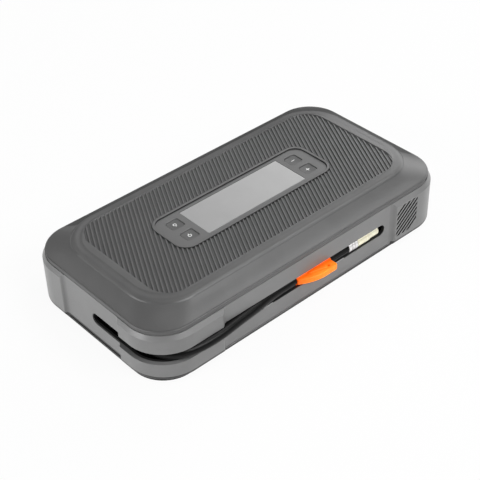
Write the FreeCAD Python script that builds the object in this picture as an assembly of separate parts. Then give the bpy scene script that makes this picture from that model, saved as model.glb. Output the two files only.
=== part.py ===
"""Jump starter pack with a built-in tyre compressor. Millimetres, +Z up, front long side at -Y.

The origin is the middle of the footprint, on the surface that the rubber feet stand on.
The hose lies in a groove that runs round the front left corner.
"""
import FreeCAD
import Part

import math
import os

V = FreeCAD.Vector
UP = V(0, 0, 1)

# Case: overall form
body_length = 246.0
body_width = 125.0
half_length = body_length / 2
half_width = body_width / 2
corner_radius = 24.0
wall = 2.5
pad_height = 1.2
pad_lift = 0.4
foot_proud = 0.6
foot_corner_radius = 22.5
foot_height = 0.6
foot_chamfer = 0.3
seam_gap = 0.4
seam_gap_depth = 0.6
floor_thickness = 2.5
seam_height = 34.6
bottom_edge_radius = 1.2
bumper_edge_radius = 2.0
bumper_proud = 2.5
bumper_proud_end = 2.0
bumper_start_x = half_length - 52.0
bumper_start_y = half_width - 37.5
bumper_blend_angle = 50.0
bumper_shoulder = 3.2

# Cover: section of the rim, slope and plateau, as insets from the rim
band_height = 2.6
band_round = 0.7
slope_foot = (0.8, 37.4, 23.6)
slope_middle = (5.6, 39.9, 25.8)
crease = (10.5, 43.5, 28.0)
brow = (11.7, 44.7, 27.4)
border_low = (13.6, 45.2, 26.2)
border_high = (17.2, 45.75, 23.6)
plateau_edge = (20.5, 46.0, 21.0)
plateau_height = 46.0
inside_low = (2.5, 36.0, 21.5)
inside_slope = (12.3, 41.2, 26.0)
inside_top = (14.6, 43.6, 25.0)
cover_wall = 2.4
lip_depth = 2.0
lip_wall = 1.6

# Cover: ribbed field
field_margin_x = 21.5
field_margin_y = 17.5
field_radius = 16.0
panel_rim_round = 0.35
rib_pitch = 3.0
rib_angle = 62.0
rib_groove_mouth = 1.9
rib_groove_floor = 0.9
rib_groove_depth = 0.7
field_sink = 0.45

# Display panel, lens and keys
panel_length = 126.4
panel_width = 34.2
panel_radius = 8.0
panel_height = 45.0
panel_thickness = 2.6
panel_flange = 2.5
panel_flange_gap = 0.1
panel_border = 1.8
lens_length = 83.6
lens_width = 28.6
lens_thickness = 1.2
lens_ledge = 1.6
key_length = 9.4
key_width = 8.8
key_radius = 1.7
key_end_margin = 12.2
key_place_y = 7.0
key_sink = 0.5
key_travel = 0.5
key_flange = 0.8
key_flange_thickness = 0.9
key_stem_radius = 1.7
key_dish_depth = 0.3

# Clearances
slip_gap = 0.15
free_gap = 0.3
running_gap = 0.05

# Control board
board_thickness = 1.6
board_width = 31.0
board_top = 36.0
board_post_y = 12.0
board_post_radius = 2.2
board_margin = 0.6
switch_side = 6.0
switch_height = 3.2
switch_plunger_radius = 1.6
screw_head_radius = 2.6
screw_head_height = 1.3
screw_radius = 1.45

# Hose groove and its liner
groove_low = 13.5
groove_high = 21.7
groove_right_end = half_length - 56.4
groove_left_end = 0.0
groove_depth = 16.0
liner_wall = 1.6
lug_places = (-37.1, 25.0)
lug_length = 7.6
lug_height = 0.6
lug_depth = 0.8

# Hose and what is on it
hose_diameter = 7.4
hose_height = 17.6
hose_exit = (-half_length + 11.7, -1.6)
hose_route = (
    (-111.3, -13.5),
    (-113.0, -27.5),
    (-115.6, -42.0),
    (-112.8, -54.0),
    (-104.5, -61.2),
    (-92.5, -64.3),
    (-77.0, -64.6),
    (-61.0, -62.6),
    (-47.0, -61.5),
    (-35.5, -59.6),
    (-25.0, -58.8),
)
sleeve_start = -14.0
sleeve_core_end = 17.3
sleeve_core_radius = 3.3
hose_line_y = -half_width + 3.7
sleeve_end = 34.0
sleeve_radius = 3.75
sleeve_rib_count = 14
ferrule_end = 42.2
ferrule_radius = 3.9
chuck_end = 61.6
chuck_radius = 3.8
chuck_step = 53.0
chuck_nose_radius = 3.45
chuck_bore_radius = 2.6
chuck_bore_depth = 8.0
tab_start = -12.4
tab_end = 17.0
tab_flat_end = 5.0
tab_belly = (-4.2, 1.9)
tab_heel = 6.1
tab_proud = 6.3
tab_corner_radius = 1.8
tab_thickness = 4.2
tab_collar_wall = 0.6
tab_pad_rise = 0.5
tab_pad_length = 14.5
tab_pad_width = 3.4
tab_pad_turn = 15.0
tab_pad_place = (3.7, 0.7)
tab_hole_place = (11.4, 3.2)
tab_hole_radius = 0.9
nipple_radius = 2.4
nipple_flange = 1.6

# Vent grille in the front right bumper
vent_left = half_length - 47.0
vent_right = half_length - 27.4
vent_low = 6.6
vent_high = 30.4
vent_slot_width = 1.6
vent_slot_pitch = 3.85
vent_slot_angle = 40.0
vent_slot_count = 8
vent_pocket_margin = 2.0

# Case screws, feet
screw_end_inset = 13.0
screw_side_inset = 12.5
screw_places = (
    (-half_length + 24.5, -half_width + 24.5),
    (-half_length + screw_end_inset, half_width - screw_side_inset),
    (half_length - screw_end_inset, half_width - screw_side_inset),
    (half_length - screw_end_inset, -half_width + 16.5),
    (half_length - 106.5, -half_width + 23.5),
    (-half_length + 83.0, half_width - 7.1),
)
boss_radius = 4.3
boss_top = 30.0
counterbore_radius = 3.0
counterbore_top = 20.0
case_screw_length = 16.0
foot_end_inset = 39.0
foot_side_inset = 13.5
foot_places = tuple(
    (x * (half_length - foot_end_inset), y * (half_width - foot_side_inset)) for y in (-1, 1) for x in (-1, 1))
foot_radius = 6.0
foot_seat = 0.6

# Battery
cell_end_room = 2.5
cell_width = 43.4
cell_thickness = 12.6
cell_radius = 2.0
cell_start_x = -half_length + 30.0
cell_start_y = -half_width + 20.5
cell_gap = 0.4
pad_thickness = 1.0
cell_board_thickness = 1.6
cell_board_height = 24.0
tab_strip_width = 8.0
tab_strip_thickness = 0.4

# Compressor
motor_x = half_length - 43.0
drive_z = 19.5
motor_radius = 14.0
motor_front = -34.0
motor_back = 12.5
motor_boss_radius = 5.0
motor_boss_length = 2.0
shaft_radius = 1.6
fan_front = -44.5
fan_depth = 6.0
fan_radius = 13.0
fan_hub_radius = 4.0
fan_blades = 7
gear_module = 0.8
pinion_teeth = 14
gear_teeth = 36
pressure_angle = 25.0
tooth_slack = 0.10
gear_front = 16.5
gear_width = 4.0
crank_radius = 5.0
crank_pin_radius = 1.8
crank_pin_length = 3.7
axle_radius = 2.5
plate_thickness = 2.5
cylinder_bore = 9.0
cylinder_wall = 2.4
cylinder_start = motor_x - 63.0
cylinder_length = 25.0
cylinder_y = 26.5
fin_count = 4
fin_reach = 1.2
piston_length = 6.0
piston_crown_gap = 0.8
rod_length = 34.0
rod_width = 4.0
rod_height = 5.0
head_thickness = 6.5
outlet_radius = 2.5
air_tube_diameter = 5.0

# Power board, sockets and torch
power_board_x = (half_length - 24.5, half_length - 3.5)
power_board_y = (-30.0, half_width - 24.5)
power_board_arm = (half_length - 18.0, half_width - 4.5)
power_board_z = 6.0
socket_y = -6.0
socket_z = 18.0
socket_length = 26.0
socket_height = 11.4
socket_start = half_length - 22.0
socket_face = half_length - 4.4
socket_hole_radius = 2.6
socket_hole_depth = 14.0
socket_hole_gap = 12.0
port_centre_x = 44.0
port_board_half = 22.0
port_board_x = (port_centre_x - port_board_half, port_centre_x + port_board_half)
port_board_y = (39.5, half_width - 3.7)
port_board_z = 13.4
port_z = 18.4
torch_y = 17.5
torch_z = 18.0
torch_radius = 5.6
torch_depth = 9.0
relay_size = (16.0, 12.5, 15.5)
lead_diameter = 5.0
lead_spacing = 7.0
lead_route = (
    (10.0, 34.8, 7.8),
    (15.0, 34.8, 7.8),
    (22.5, 40.2, 7.7),
    (32.0, 47.2, 7.6),
    (48.0, 48.2, 7.6),
    (72.0, 48.0, 8.6),
    (86.0, 48.0, 10.2),
    (99.5, 48.0, 10.2),
)
terminal_size = (5.0, 13.6, 7.0)
post_places = ((62.0, 42.0), (36.5, 41.8))
air_tube_route = (
    (13.75, 44.0, 19.5),
    (9.0, 50.3, 19.5),
    (-3.0, 52.0, 19.5),
    (-22.0, 48.4, 19.3),
    (-50.0, 48.1, 19.0),
    (-80.0, 48.4, 18.5),
    (-95.5, 49.6, 18.2),
    (-99.0, 39.0, 18.0),
    (-101.0, 27.0, 17.8),
    (-105.5, 17.0, 17.6),
    (-111.3, 12.2, 17.6),
)

# Hinged socket covers
door_thickness = 1.4
door_rim_depth = 1.8
door_rim_wall = 1.4
door_margin = 3.0
hinge_radius = 1.3
hinge_pin_radius = 0.5
hinge_ear_length = 3.0

case_bottom = pad_height
inner_floor = pad_height + floor_thickness
cover_inner_top = plateau_height - cover_wall
panel_bottom = panel_height - panel_thickness
groove_middle = (groove_low + groove_high) / 2
groove_round = (groove_high - groove_low) / 2
hose_radius = hose_diameter / 2
crank_x = motor_x - gear_module * (pinion_teeth + gear_teeth) / 2
key_place_x = panel_length / 2 - key_end_margin
board_post_x = panel_length / 2 + panel_flange + board_post_radius + free_gap
board_length = 2 * (board_post_x + board_post_radius + board_margin)
panel_flange_thickness = cover_inner_top - panel_flange_gap - panel_bottom
cell_length = cylinder_start - head_thickness - cell_end_room - cell_start_x
tab_reach = half_width + tab_proud
cell_top = inner_floor + pad_thickness + 2 * cell_thickness + cell_gap


def box(x0, x1, y0, y1, z0, z1):
    """A block between two corners."""
    return Part.makeBox(x1 - x0, y1 - y0, z1 - z0, V(x0, y0, z0))


def fuse(*shapes):
    """The shapes joined into one, with seams between flush faces removed."""
    joined = shapes[0].fuse(list(shapes[1:])) if len(shapes) > 1 else shapes[0]
    return joined.removeSplitter()


def slab(length, width, radius, z0, z1, x=0.0, y=0.0):
    """An upright block with rounded corners in plan."""
    block = box(x - length / 2, x + length / 2, y - width / 2, y + width / 2, z0, z1)
    upright = [e for e in block.Edges if abs(e.Vertexes[0].Z - e.Vertexes[-1].Z) > (z1 - z0) / 2]
    return block.makeFillet(radius, upright)


def outline_slab(inset, z0, z1):
    """The case's plan, taken in by an inset all round."""
    return slab(body_length - 2 * inset, body_width - 2 * inset, corner_radius - inset, z0, z1)


def level_edges(shape, z):
    """The edges of a shape that lie at one height."""
    return [e for e in shape.Edges if all(abs(v.Z - z) < 1e-6 for v in e.Vertexes)]


def rod(start, direction, radius, length):
    """A round bar from a point along a direction."""
    return Part.makeCylinder(radius, length, V(*start), V(*direction))


def prism(points, direction):
    """A closed polygon pushed along a direction."""
    wire = Part.makePolygon([V(*p) for p in points] + [V(*points[0])])
    return Part.Face(wire).extrude(V(*direction))


def tube_along(points, diameter, label):
    """A round cord along straight runs joined by tangent arcs. Prints its radii and checks its volume."""
    points = [V(*p) for p in points]
    edges = []
    radii = []
    start = points[0]
    for before, corner, after in zip(points, points[1:], points[2:]):
        run_in = corner - before
        run_out = after - corner
        half_turn = run_in.getAngle(run_out) / 2
        reach = 0.45 * min(run_in.Length, run_out.Length)
        radii.append(reach / math.tan(half_turn))
        run_in.normalize()
        run_out.normalize()
        arc_start = corner - run_in * reach
        arc_end = corner + run_out * reach
        inward = run_out - run_in
        inward.normalize()
        arc_middle = corner + inward * (radii[-1] / math.cos(half_turn) - radii[-1])
        edges.append(Part.LineSegment(start, arc_start).toShape())
        edges.append(Part.Arc(arc_start, arc_middle, arc_end).toShape())
        start = arc_end
    edges.append(Part.LineSegment(start, points[-1]).toShape())
    path = Part.Wire(edges)
    first = points[1] - points[0]
    ring = Part.Wire(Part.makeCircle(diameter / 2, points[0], first))
    tube = path.makePipeShell([ring], True, False)
    expected = math.pi * diameter**2 / 4 * path.Length
    print(label, "length", round(path.Length, 1), "radii", [round(r, 1) for r in radii],
          "volume share", round(tube.Volume / expected, 4))
    return tube


def bumper_blend(start, depth):
    """An S of two arcs from the wall out to the bumper's face, as (along, out) points of its two arcs."""
    angle = math.radians(bumper_blend_angle)
    radius = depth / (2 * (1 - math.cos(angle)))
    half = radius * math.sin(angle)
    run = radius * math.sin(angle / 2)
    rise = radius * (1 - math.cos(angle / 2))
    return (
        ((start, 0.0), (start + run, rise), (start + half, depth / 2)),
        ((start + half, depth / 2), (start + 2 * half - run, depth - rise), (start + 2 * half, depth)),
    )


def side_recess(half_span, distance, proud):
    """The shape that sinks the middle of one side wall, open outwards, with soft ends."""
    overshoot = 0.3
    blend = bumper_blend(half_span, proud + overshoot)
    out = distance + proud + overshoot
    edges = []
    for side in (1, -1):
        for arc in blend:
            edges.append(Part.Arc(*[V(side * a, distance + o, 0) for a, o in arc]).toShape())
    far = blend[1][2][0]
    inner = distance - wall
    edges.append(Part.LineSegment(V(half_span, distance, 0), V(half_span, inner, 0)).toShape())
    edges.append(Part.LineSegment(V(half_span, inner, 0), V(-half_span, inner, 0)).toShape())
    edges.append(Part.LineSegment(V(-half_span, inner, 0), V(-half_span, distance, 0)).toShape())
    edges.append(Part.LineSegment(V(far, out, 0), V(far, out + wall, 0)).toShape())
    edges.append(Part.LineSegment(V(far, out + wall, 0), V(-far, out + wall, 0)).toShape())
    edges.append(Part.LineSegment(V(-far, out + wall, 0), V(-far, out, 0)).toShape())
    wire = Part.Wire(Part.__sortEdges__(edges))
    return Part.Face(wire).extrude(UP * seam_height)


def recess_cutters():
    """What sinks the middle of all four walls between the corner bumpers."""
    long_side = side_recess(bumper_start_x, half_width, bumper_proud)
    short_side = side_recess(bumper_start_y, half_length, bumper_proud_end)
    cutters = [long_side, long_side.copy(), short_side, short_side.copy()]
    for shape, turn in zip(cutters, (0, 180, 90, -90)):
        shape.rotate(V(0, 0, 0), UP, turn)
    return cutters


def bumper_slab(inset, z0, z1):
    """A block as wide as the corner bumpers, taken in by an inset."""
    return slab(body_length + 2 * bumper_proud_end - 2 * inset, body_width + 2 * bumper_proud - 2 * inset,
                corner_radius + bumper_proud - inset, z0, z1)


def foot_slab(z0, z1):
    """The plan of the case's foot, which runs evenly round walls and bumpers."""
    return slab(body_length + 2 * foot_proud, body_width + 2 * foot_proud, foot_corner_radius, z0, z1)


def case_form():
    """The housing's outer form: a rounded tub with a bumper at each corner, whose shoulder slopes up to the seam."""
    core = outline_slab(0.0, case_bottom, seam_height)
    core = core.makeFillet(bottom_edge_radius, level_edges(core, case_bottom))
    shoulder_foot = seam_height - bumper_shoulder
    full = bumper_slab(0.0, case_bottom, shoulder_foot)
    full = full.makeFillet(bumper_edge_radius, level_edges(full, case_bottom))
    shoulder = Part.makeLoft([
        rounded_wire(half_length + bumper_proud_end, half_width + bumper_proud, corner_radius + bumper_proud, shoulder_foot),
        rounded_wire(half_length, half_width, corner_radius, seam_height)], True, True)
    foot_top = case_bottom + foot_height
    foot = foot_slab(case_bottom, foot_top)
    foot = foot.makeChamfer(foot_chamfer, level_edges(foot, foot_top))
    form = fuse(core, foot, full.fuse(shoulder).cut(recess_cutters()))
    gap_low = seam_height - seam_gap
    shadow = bumper_slab(-1.0, gap_low, seam_height + 1).cut(outline_slab(seam_gap_depth, gap_low, seam_height + 1))
    return form.cut(shadow)


def groove_cutter(inner_inset, grow=0.0):
    """The groove's space: along the front, round the front left corner and part of the left side."""
    low = groove_low - grow
    high = groove_high + grow
    reach = half_length + bumper_proud + wall
    band = box(-reach, reach, -reach, reach, low, high).cut(outline_slab(inner_inset + grow, low, high))
    front = box(-reach, groove_right_end + grow, -reach, -half_width + inner_inset + grow, low, high)
    side = box(-reach, -half_length + inner_inset + grow, -reach, groove_left_end + grow, low, high)
    corner = box(-reach, -half_length + corner_radius, -reach, -half_width + corner_radius, low, high)
    return band.common(fuse(front, side, corner))


def slot_ends():
    """What the groove's two mouths leave uncut, so that each ends in a half round."""
    deep = 2 * (bumper_proud + wall)
    front = box(groove_right_end - groove_round, groove_right_end, -half_width - deep, -half_width + wall,
                groove_low, groove_high)
    front = front.cut(rod((groove_right_end - groove_round, -half_width - deep, groove_middle), (0, 1, 0),
                          groove_round, 2 * deep))
    side = box(-half_length - deep, -half_length + wall, groove_left_end - groove_round, groove_left_end,
               groove_low, groove_high)
    side = side.cut(rod((-half_length - deep, groove_left_end - groove_round, groove_middle), (1, 0, 0),
                        groove_round, 2 * deep))
    return front, side


def vent_slots():
    """Slanting slots, trimmed to an upright rectangle on the front right bumper."""
    slope = math.radians(vent_slot_angle)
    reach = 2 * (vent_high - vent_low)
    y0 = -half_width - bumper_proud - wall
    y1 = -half_width + wall
    window = box(vent_left, vent_right, y0, y1, vent_low, vent_high)
    slots = []
    for index in range(vent_slot_count):
        bar = box(-reach, reach, y0, y1, -vent_slot_width / 2, vent_slot_width / 2)
        bar.rotate(V(0, 0, 0), V(0, -1, 0), vent_slot_angle)
        rise = vent_high - (vent_high - vent_low) * 0.26 - vent_slot_pitch * index
        bar.translate(V(vent_left, 0, rise))
        slots.append(bar)
    return Part.makeCompound([s.common(window) for s in slots]), slope


def screw_boss(x, y):
    """A round post with a deep counterbore for a case screw."""
    return rod((x, y, inner_floor - 0.5), (0, 0, 1), boss_radius, boss_top - inner_floor + 0.5)


def door_place(shape, side):
    """Moves a cover modelled for the right end to the side that it belongs on."""
    placed = shape.copy()
    if side == "back":
        placed.rotate(V(0, 0, 0), UP, 90)
        placed.translate(V(port_centre_x, half_width - half_length, 0))
        return placed
    placed.translate(V(0, socket_y, 0))
    return placed


def door_sizes(side):
    """Width, height, middle height of the opening behind a cover."""
    if side == "back":
        return 38.0, 12.0, port_z
    return socket_length + 1.4, socket_height + 1.4, socket_z


def hinge_place(side):
    """Height of a cover's hinge axis, and how far out it lies from the case's middle."""
    width, height, middle = door_sizes(side)
    return middle + height / 2 + door_margin + hinge_radius + 0.2, half_length - 0.2


def door_seat(side):
    """What is cut from the wall for a cover: a shallow seat, the opening and room for the hinge."""
    width, height, middle = door_sizes(side)
    axis_z, axis_x = hinge_place(side)
    deep = half_length - door_thickness - free_gap
    half = width / 2 + door_margin + slip_gap
    seat = box(deep, half_length + wall, -half, half,
               middle - height / 2 - door_margin - slip_gap, axis_z + hinge_radius + free_gap)
    opening = box(half_length - 3 * wall, half_length + wall, -width / 2, width / 2,
                  middle - height / 2, middle + height / 2)
    return seat.fuse(opening)


def hinge_ears(side):
    """Two small lugs on the case that hold the ends of a cover's hinge pin."""
    width, height, middle = door_sizes(side)
    axis_z, axis_x = hinge_place(side)
    end = width / 2 + door_margin + slip_gap
    ears = []
    for sign in (1, -1):
        inner = sign * (end - hinge_ear_length)
        outer = sign * (end + 0.5)
        y0, y1 = sorted((inner, outer))
        block = box(half_length - wall, axis_x, y0, y1, axis_z - hinge_radius, axis_z + hinge_radius)
        block = block.fuse(rod((axis_x, y0, axis_z), (0, 1, 0), hinge_radius, y1 - y0))
        ears.append(block.cut(rod((axis_x, -end, axis_z), (0, 1, 0), hinge_pin_radius + 0.02, 2 * end)))
    return ears


def socket_cover(side):
    """A rubber cover plate with a rim that plugs the opening, and a barrel on its top edge."""
    width, height, middle = door_sizes(side)
    axis_z, axis_x = hinge_place(side)
    bottom = middle - height / 2 - door_margin
    half = width / 2 + door_margin
    inner_face = half_length - door_thickness
    plate = box(inner_face, half_length, -half, half, bottom, axis_z)
    rounded = [e for e in plate.Edges
               if abs(e.Vertexes[0].X - e.Vertexes[-1].X) > door_thickness / 2 and e.Vertexes[0].Z < middle]
    plate = plate.makeFillet(2.5, rounded)
    rim = box(inner_face - door_rim_depth, inner_face, -width / 2 + 0.6, width / 2 - 0.6,
              middle - height / 2 + 0.9, middle + height / 2 - 0.4)
    hollow = box(inner_face - door_rim_depth, inner_face, -width / 2 + 0.6 + door_rim_wall, width / 2 - 0.6 - door_rim_wall,
                 middle - height / 2 + 0.9 + door_rim_wall, middle + height / 2 - 0.4 - door_rim_wall)
    reach = width / 2 + door_margin - hinge_ear_length - slip_gap
    notch_half = half + 1.0
    ear_room = [box(inner_face - 1, half_length + 1, s0, s1, axis_z - hinge_radius - slip_gap, axis_z + 1)
                for s0, s1 in ((reach, notch_half), (-notch_half, -reach))]
    barrel = rod((axis_x, -reach, axis_z), (0, 1, 0), hinge_radius, 2 * reach)
    finger = rod((half_length - 0.1, -4.0, bottom + 1.4), (0, 1, 0), 0.7, 8.0)
    door = plate.cut(ear_room).fuse([barrel, rim.cut(hollow), finger])
    return door.cut(rod((axis_x, -half, axis_z), (0, 1, 0), hinge_pin_radius + running_gap, 2 * half)).removeSplitter()


def hinge_pin(side):
    """The steel pin of a cover's hinge."""
    width, height, middle = door_sizes(side)
    axis_z, axis_x = hinge_place(side)
    end = width / 2 + door_margin + slip_gap
    return rod((axis_x, -end, axis_z), (0, 1, 0), hinge_pin_radius, 2 * end)


def lower_housing():
    """The tub: walls with corner bumpers, the hose groove's mouth, the vent, openings, bosses and posts."""
    form = case_form()
    cavity = outline_slab(wall, inner_floor, seam_height + 1)
    tub = form.cut(cavity)
    mouth = groove_cutter(wall)
    tub = tub.cut(mouth.cut(list(slot_ends())))
    pocket = box(vent_left - vent_pocket_margin, vent_right + vent_pocket_margin, -half_width, -half_width + wall,
                 vent_low - vent_pocket_margin, vent_high + vent_pocket_margin)
    tub = tub.cut([pocket, vent_slots()[0]])
    for side in ("end", "back"):
        tub = tub.cut(door_place(door_seat(side), side))
    tub = tub.cut(rod((half_length - 2 * wall, torch_y, torch_z), (1, 0, 0), torch_radius + slip_gap, 4 * wall))
    bosses = [screw_boss(x, y) for x, y in screw_places]
    posts = [rod((x, y, inner_floor - 0.5), (0, 0, 1), 2.2, port_board_z - inner_floor + 0.5) for x, y in post_places]
    saddles = [box(motor_x - 12, motor_x + 12, y, y + 3, inner_floor - 0.5, drive_z).cut(
        rod((motor_x, y - 1, drive_z), (0, 1, 0), motor_radius + running_gap, 5)) for y in (-28.0, 2.0)]
    ears = [door_place(e, side) for side in ("end", "back") for e in hinge_ears(side)]
    lugs = [box(x - lug_length / 2, x + lug_length / 2, -half_width, -half_width + lug_depth, groove_low - 0.5,
                groove_low + lug_height) for x in lug_places]
    tub = fuse(tub, *(bosses + posts + saddles + ears + lugs))
    holes = []
    for x, y in screw_places:
        holes.append(rod((x, y, 0), (0, 0, 1), counterbore_radius, counterbore_top))
        holes.append(rod((x, y, 0), (0, 0, 1), screw_radius + slip_gap, boss_top + 1))
    for x, y in foot_places:
        holes.append(rod((x, y, 0), (0, 0, 1), foot_radius + slip_gap, pad_height + foot_seat))
    return tub.cut(holes).removeSplitter()


def rounded_wire(x, y, radius, z):
    """A level rounded rectangle that reaches out to x and y."""
    bend = radius * (1 - math.sqrt(0.5))
    corners = ((x, y, 1, 1), (-x, y, -1, 1), (-x, -y, -1, -1), (x, -y, 1, -1))
    edges = []
    for index, (cx, cy, sx, sy) in enumerate(corners):
        first = V(cx, cy - sy * radius, z)
        last = V(cx - sx * radius, cy, z)
        if sx * sy < 0:
            first, last = last, first
        middle = V(cx - sx * bend, cy - sy * bend, z)
        edges.append(Part.Arc(first, middle, last).toShape())
        nx, ny, tx, ty = corners[(index + 1) % 4]
        start = V(nx, ny - ty * radius, z) if tx * ty > 0 else V(nx - tx * radius, ny, z)
        edges.append(Part.LineSegment(last, start).toShape())
    return Part.Wire(edges)


def ring(inset, z, radius):
    """The case's rounded outline at a height, taken in by an inset, with its own corner radius."""
    return rounded_wire(half_length - inset, half_width - inset, radius, z)


def carry(rings, ruled):
    """A solid carried through rings, smooth or with straight flanks."""
    return Part.makeLoft([ring(*place) for place in rings], True, ruled)


def cover_form():
    """The cover's outer form: rim band, hollow slope, a soft brow, and a border that rises to the plateau."""
    band_top = seam_height + band_height
    band = outline_slab(0.0, seam_height, band_top)
    band = band.makeFillet(band_round, level_edges(band, band_top))
    inner_foot = (slope_foot[0], band_top - band_round, slope_foot[2])
    foot = carry((inner_foot, slope_foot), True)
    slope = carry((slope_foot, slope_middle, crease), False)
    border = carry((crease, brow, border_low, border_high), False)
    edge = carry((border_high, plateau_edge), True)
    return band.fuse([foot, slope, border, edge])


def cover_hollow():
    """The space under the cover."""
    mouth = (inside_low[0], seam_height - 1, inside_low[2])
    return carry((mouth, inside_low, inside_slope, inside_top), True)


def rib_grooves():
    """The slanting grooves of the ribbed field, trimmed to its rounded outline and clear of the panel."""
    length = body_length - 2 * field_margin_x
    width = body_width - 2 * field_margin_y
    field_top = plateau_height - field_sink
    groove_bottom = field_top - rib_groove_depth
    field = slab(length, width, field_radius, groove_bottom, field_top + 1)
    field = field.makeChamfer(rib_groove_depth * 0.9, level_edges(field, groove_bottom))
    border = slab(panel_length + 2 * panel_border, panel_width + 2 * panel_border, panel_radius + panel_border,
                  field_top - rib_groove_depth - 1, field_top + 2)
    field = field.cut(border)
    count = int((length + width / math.tan(math.radians(rib_angle))) / rib_pitch / 2) + 1
    bars = []
    for index in range(-count, count + 1):
        half_mouth = rib_groove_mouth / 2
        half_floor = rib_groove_floor / 2
        bar = prism([(-half_floor, -body_width, groove_bottom), (half_floor, -body_width, groove_bottom),
                     (half_mouth, -body_width, field_top), (half_mouth, -body_width, field_top + 1),
                     (-half_mouth, -body_width, field_top + 1), (-half_mouth, -body_width, field_top)],
                    (0, 2 * body_width, 0))
        bar.rotate(V(0, 0, 0), UP, rib_angle - 90)
        bar.translate(V(index * rib_pitch, 0, 0))
        bars.append(bar)
    sink = slab(length, width, field_radius, field_top, plateau_height + 1).cut(border)
    return Part.makeCompound(bars).common(field), sink


def top_cover():
    """The upper shell: rim band, hollow slope, crease and plateau with its ribbed field and panel opening."""
    shell = cover_form().cut(cover_hollow())
    lip_inset = wall + slip_gap
    lip = outline_slab(lip_inset, seam_height - lip_depth, seam_height + 1.0).cut(
        outline_slab(lip_inset + lip_wall, seam_height - lip_depth, seam_height + 1.0))
    bridge = outline_slab(wall - 0.3, seam_height, seam_height + 1.2).cut(
        outline_slab(lip_inset + lip_wall, seam_height, seam_height + 1.2))
    opening = slab(panel_length, panel_width, panel_radius, cover_inner_top - 1, plateau_height + 1)
    posts = [rod((x * board_post_x, y * board_post_y, board_top), (0, 0, 1), board_post_radius,
                 cover_inner_top - board_top + 0.5)
             for x in (1, -1) for y in (1, -1)]
    sockets = [rod((x, y, boss_top + free_gap), (0, 0, 1), boss_radius - 1.0, post_height(x, y) - boss_top - free_gap)
               for x, y in screw_places]
    shell = fuse(shell.cut(opening), lip, bridge, *(posts + sockets))
    grooves, sink = rib_grooves()
    shell = shell.cut(sink)
    rim_length = panel_length + 2 * panel_border + 1
    rim_width = panel_width + 2 * panel_border + 1
    rim = [e for e in level_edges(shell, plateau_height)
           if e.BoundBox.XLength < rim_length and e.BoundBox.YLength < rim_width
           and abs(e.BoundBox.Center.x) < rim_length / 2 and abs(e.BoundBox.Center.y) < rim_width / 2]
    shell = shell.makeFillet(panel_rim_round, rim)
    shell = shell.cut(grooves)
    holes = [rod((x, y, 0), (0, 0, 1), screw_radius + running_gap, counterbore_top + case_screw_length + 0.5)
             for x, y in screw_places]
    holes += [rod((x * board_post_x, y * board_post_y, 0), (0, 0, 1), screw_radius - 0.4, board_top + 5)
              for x in (1, -1) for y in (1, -1)]
    return shell.cut(holes).removeSplitter()


def post_height(x, y):
    """How high a screw socket may rise before it meets the outside of the cover's slope."""
    inset = min(half_length - abs(x), half_width - abs(y))
    corner_x = abs(x) - (half_length - corner_radius)
    corner_y = abs(y) - (half_width - corner_radius)
    if corner_x > 0 and corner_y > 0:
        inset = corner_radius - math.hypot(corner_x, corner_y)
    share = min(1.0, max(0.0, (inset - boss_radius - wall) / crease[0]))
    return seam_height + 2.2 + share * (cover_inner_top - seam_height - 2.2)


def rounded_key(length, width, radius, z0, z1, x, y):
    """A small rounded block at a key's place."""
    return slab(length, width, radius, z0, z1, x, y)


def key_places():
    """The four keys' names and middles."""
    return {
        "button_light": (-key_place_x, key_place_y),
        "button_power": (-key_place_x, -key_place_y),
        "button_minus": (key_place_x, key_place_y),
        "button_plus": (key_place_x, -key_place_y),
    }


def display_panel():
    """The sunk panel round the display, with a pocket for the lens and a hole for each key."""
    plate = slab(panel_length - 2 * slip_gap, panel_width - 2 * slip_gap, panel_radius - slip_gap,
                 panel_bottom, panel_height)
    flange = slab(panel_length + 2 * panel_flange, panel_width + 2 * panel_flange, panel_radius + panel_flange, panel_bottom,
                  panel_bottom + panel_flange_thickness)
    plate = fuse(plate, flange)
    pocket = slab(lens_length + 2 * slip_gap, lens_width + 2 * slip_gap, 1.2,
                  panel_height - lens_thickness, panel_height + 1)
    window = box(-lens_length / 2 + lens_ledge, lens_length / 2 - lens_ledge, -lens_width / 2 + lens_ledge,
                 lens_width / 2 - lens_ledge, panel_bottom - 1, panel_height + 1)
    cutters = [pocket, window]
    for x, y in key_places().values():
        cutters.append(rounded_key(key_length + 2 * slip_gap, key_width + 2 * slip_gap, key_radius + slip_gap,
                                   panel_bottom - 1, panel_height + 1, x, y))
    plate = plate.cut(cutters)
    for x, y in key_places().values():
        rim = [e for e in level_edges(plate, panel_height)
               if abs(e.BoundBox.Center.x - x) < key_length / 2 + 1 and abs(e.BoundBox.Center.y - y) < key_width / 2 + 1]
        plate = plate.makeChamfer(0.35, rim)
    return plate


def key(x, y):
    """One key: a dished cap, a flange that holds it under the panel, and a stem to its switch."""
    top = panel_height - key_sink
    cap = rounded_key(key_length, key_width, key_radius, panel_bottom - 0.2, top, x, y)
    cap = cap.makeFillet(0.4, level_edges(cap, top))
    ball_radius = ((key_length / 2) ** 2 + key_dish_depth**2) / (2 * key_dish_depth) * 1.2
    dish = Part.makeSphere(ball_radius, V(x, y, top - key_dish_depth + ball_radius))
    flange_top = panel_bottom - running_gap
    flange = rounded_key(key_length + 2 * key_flange, key_width + 2 * key_flange, key_radius, flange_top - key_flange_thickness,
                         flange_top, x, y)
    stem_bottom = board_top + switch_height + key_travel + slip_gap
    stem = rod((x, y, stem_bottom), (0, 0, 1), key_stem_radius, flange_top - stem_bottom)
    return fuse(cap.cut(dish), flange, stem)


def display_lens():
    """The clear window over the display."""
    lens = slab(lens_length, lens_width, 1.0, panel_height - lens_thickness, panel_height)
    return lens.makeChamfer(0.25, level_edges(lens, panel_height))


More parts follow.
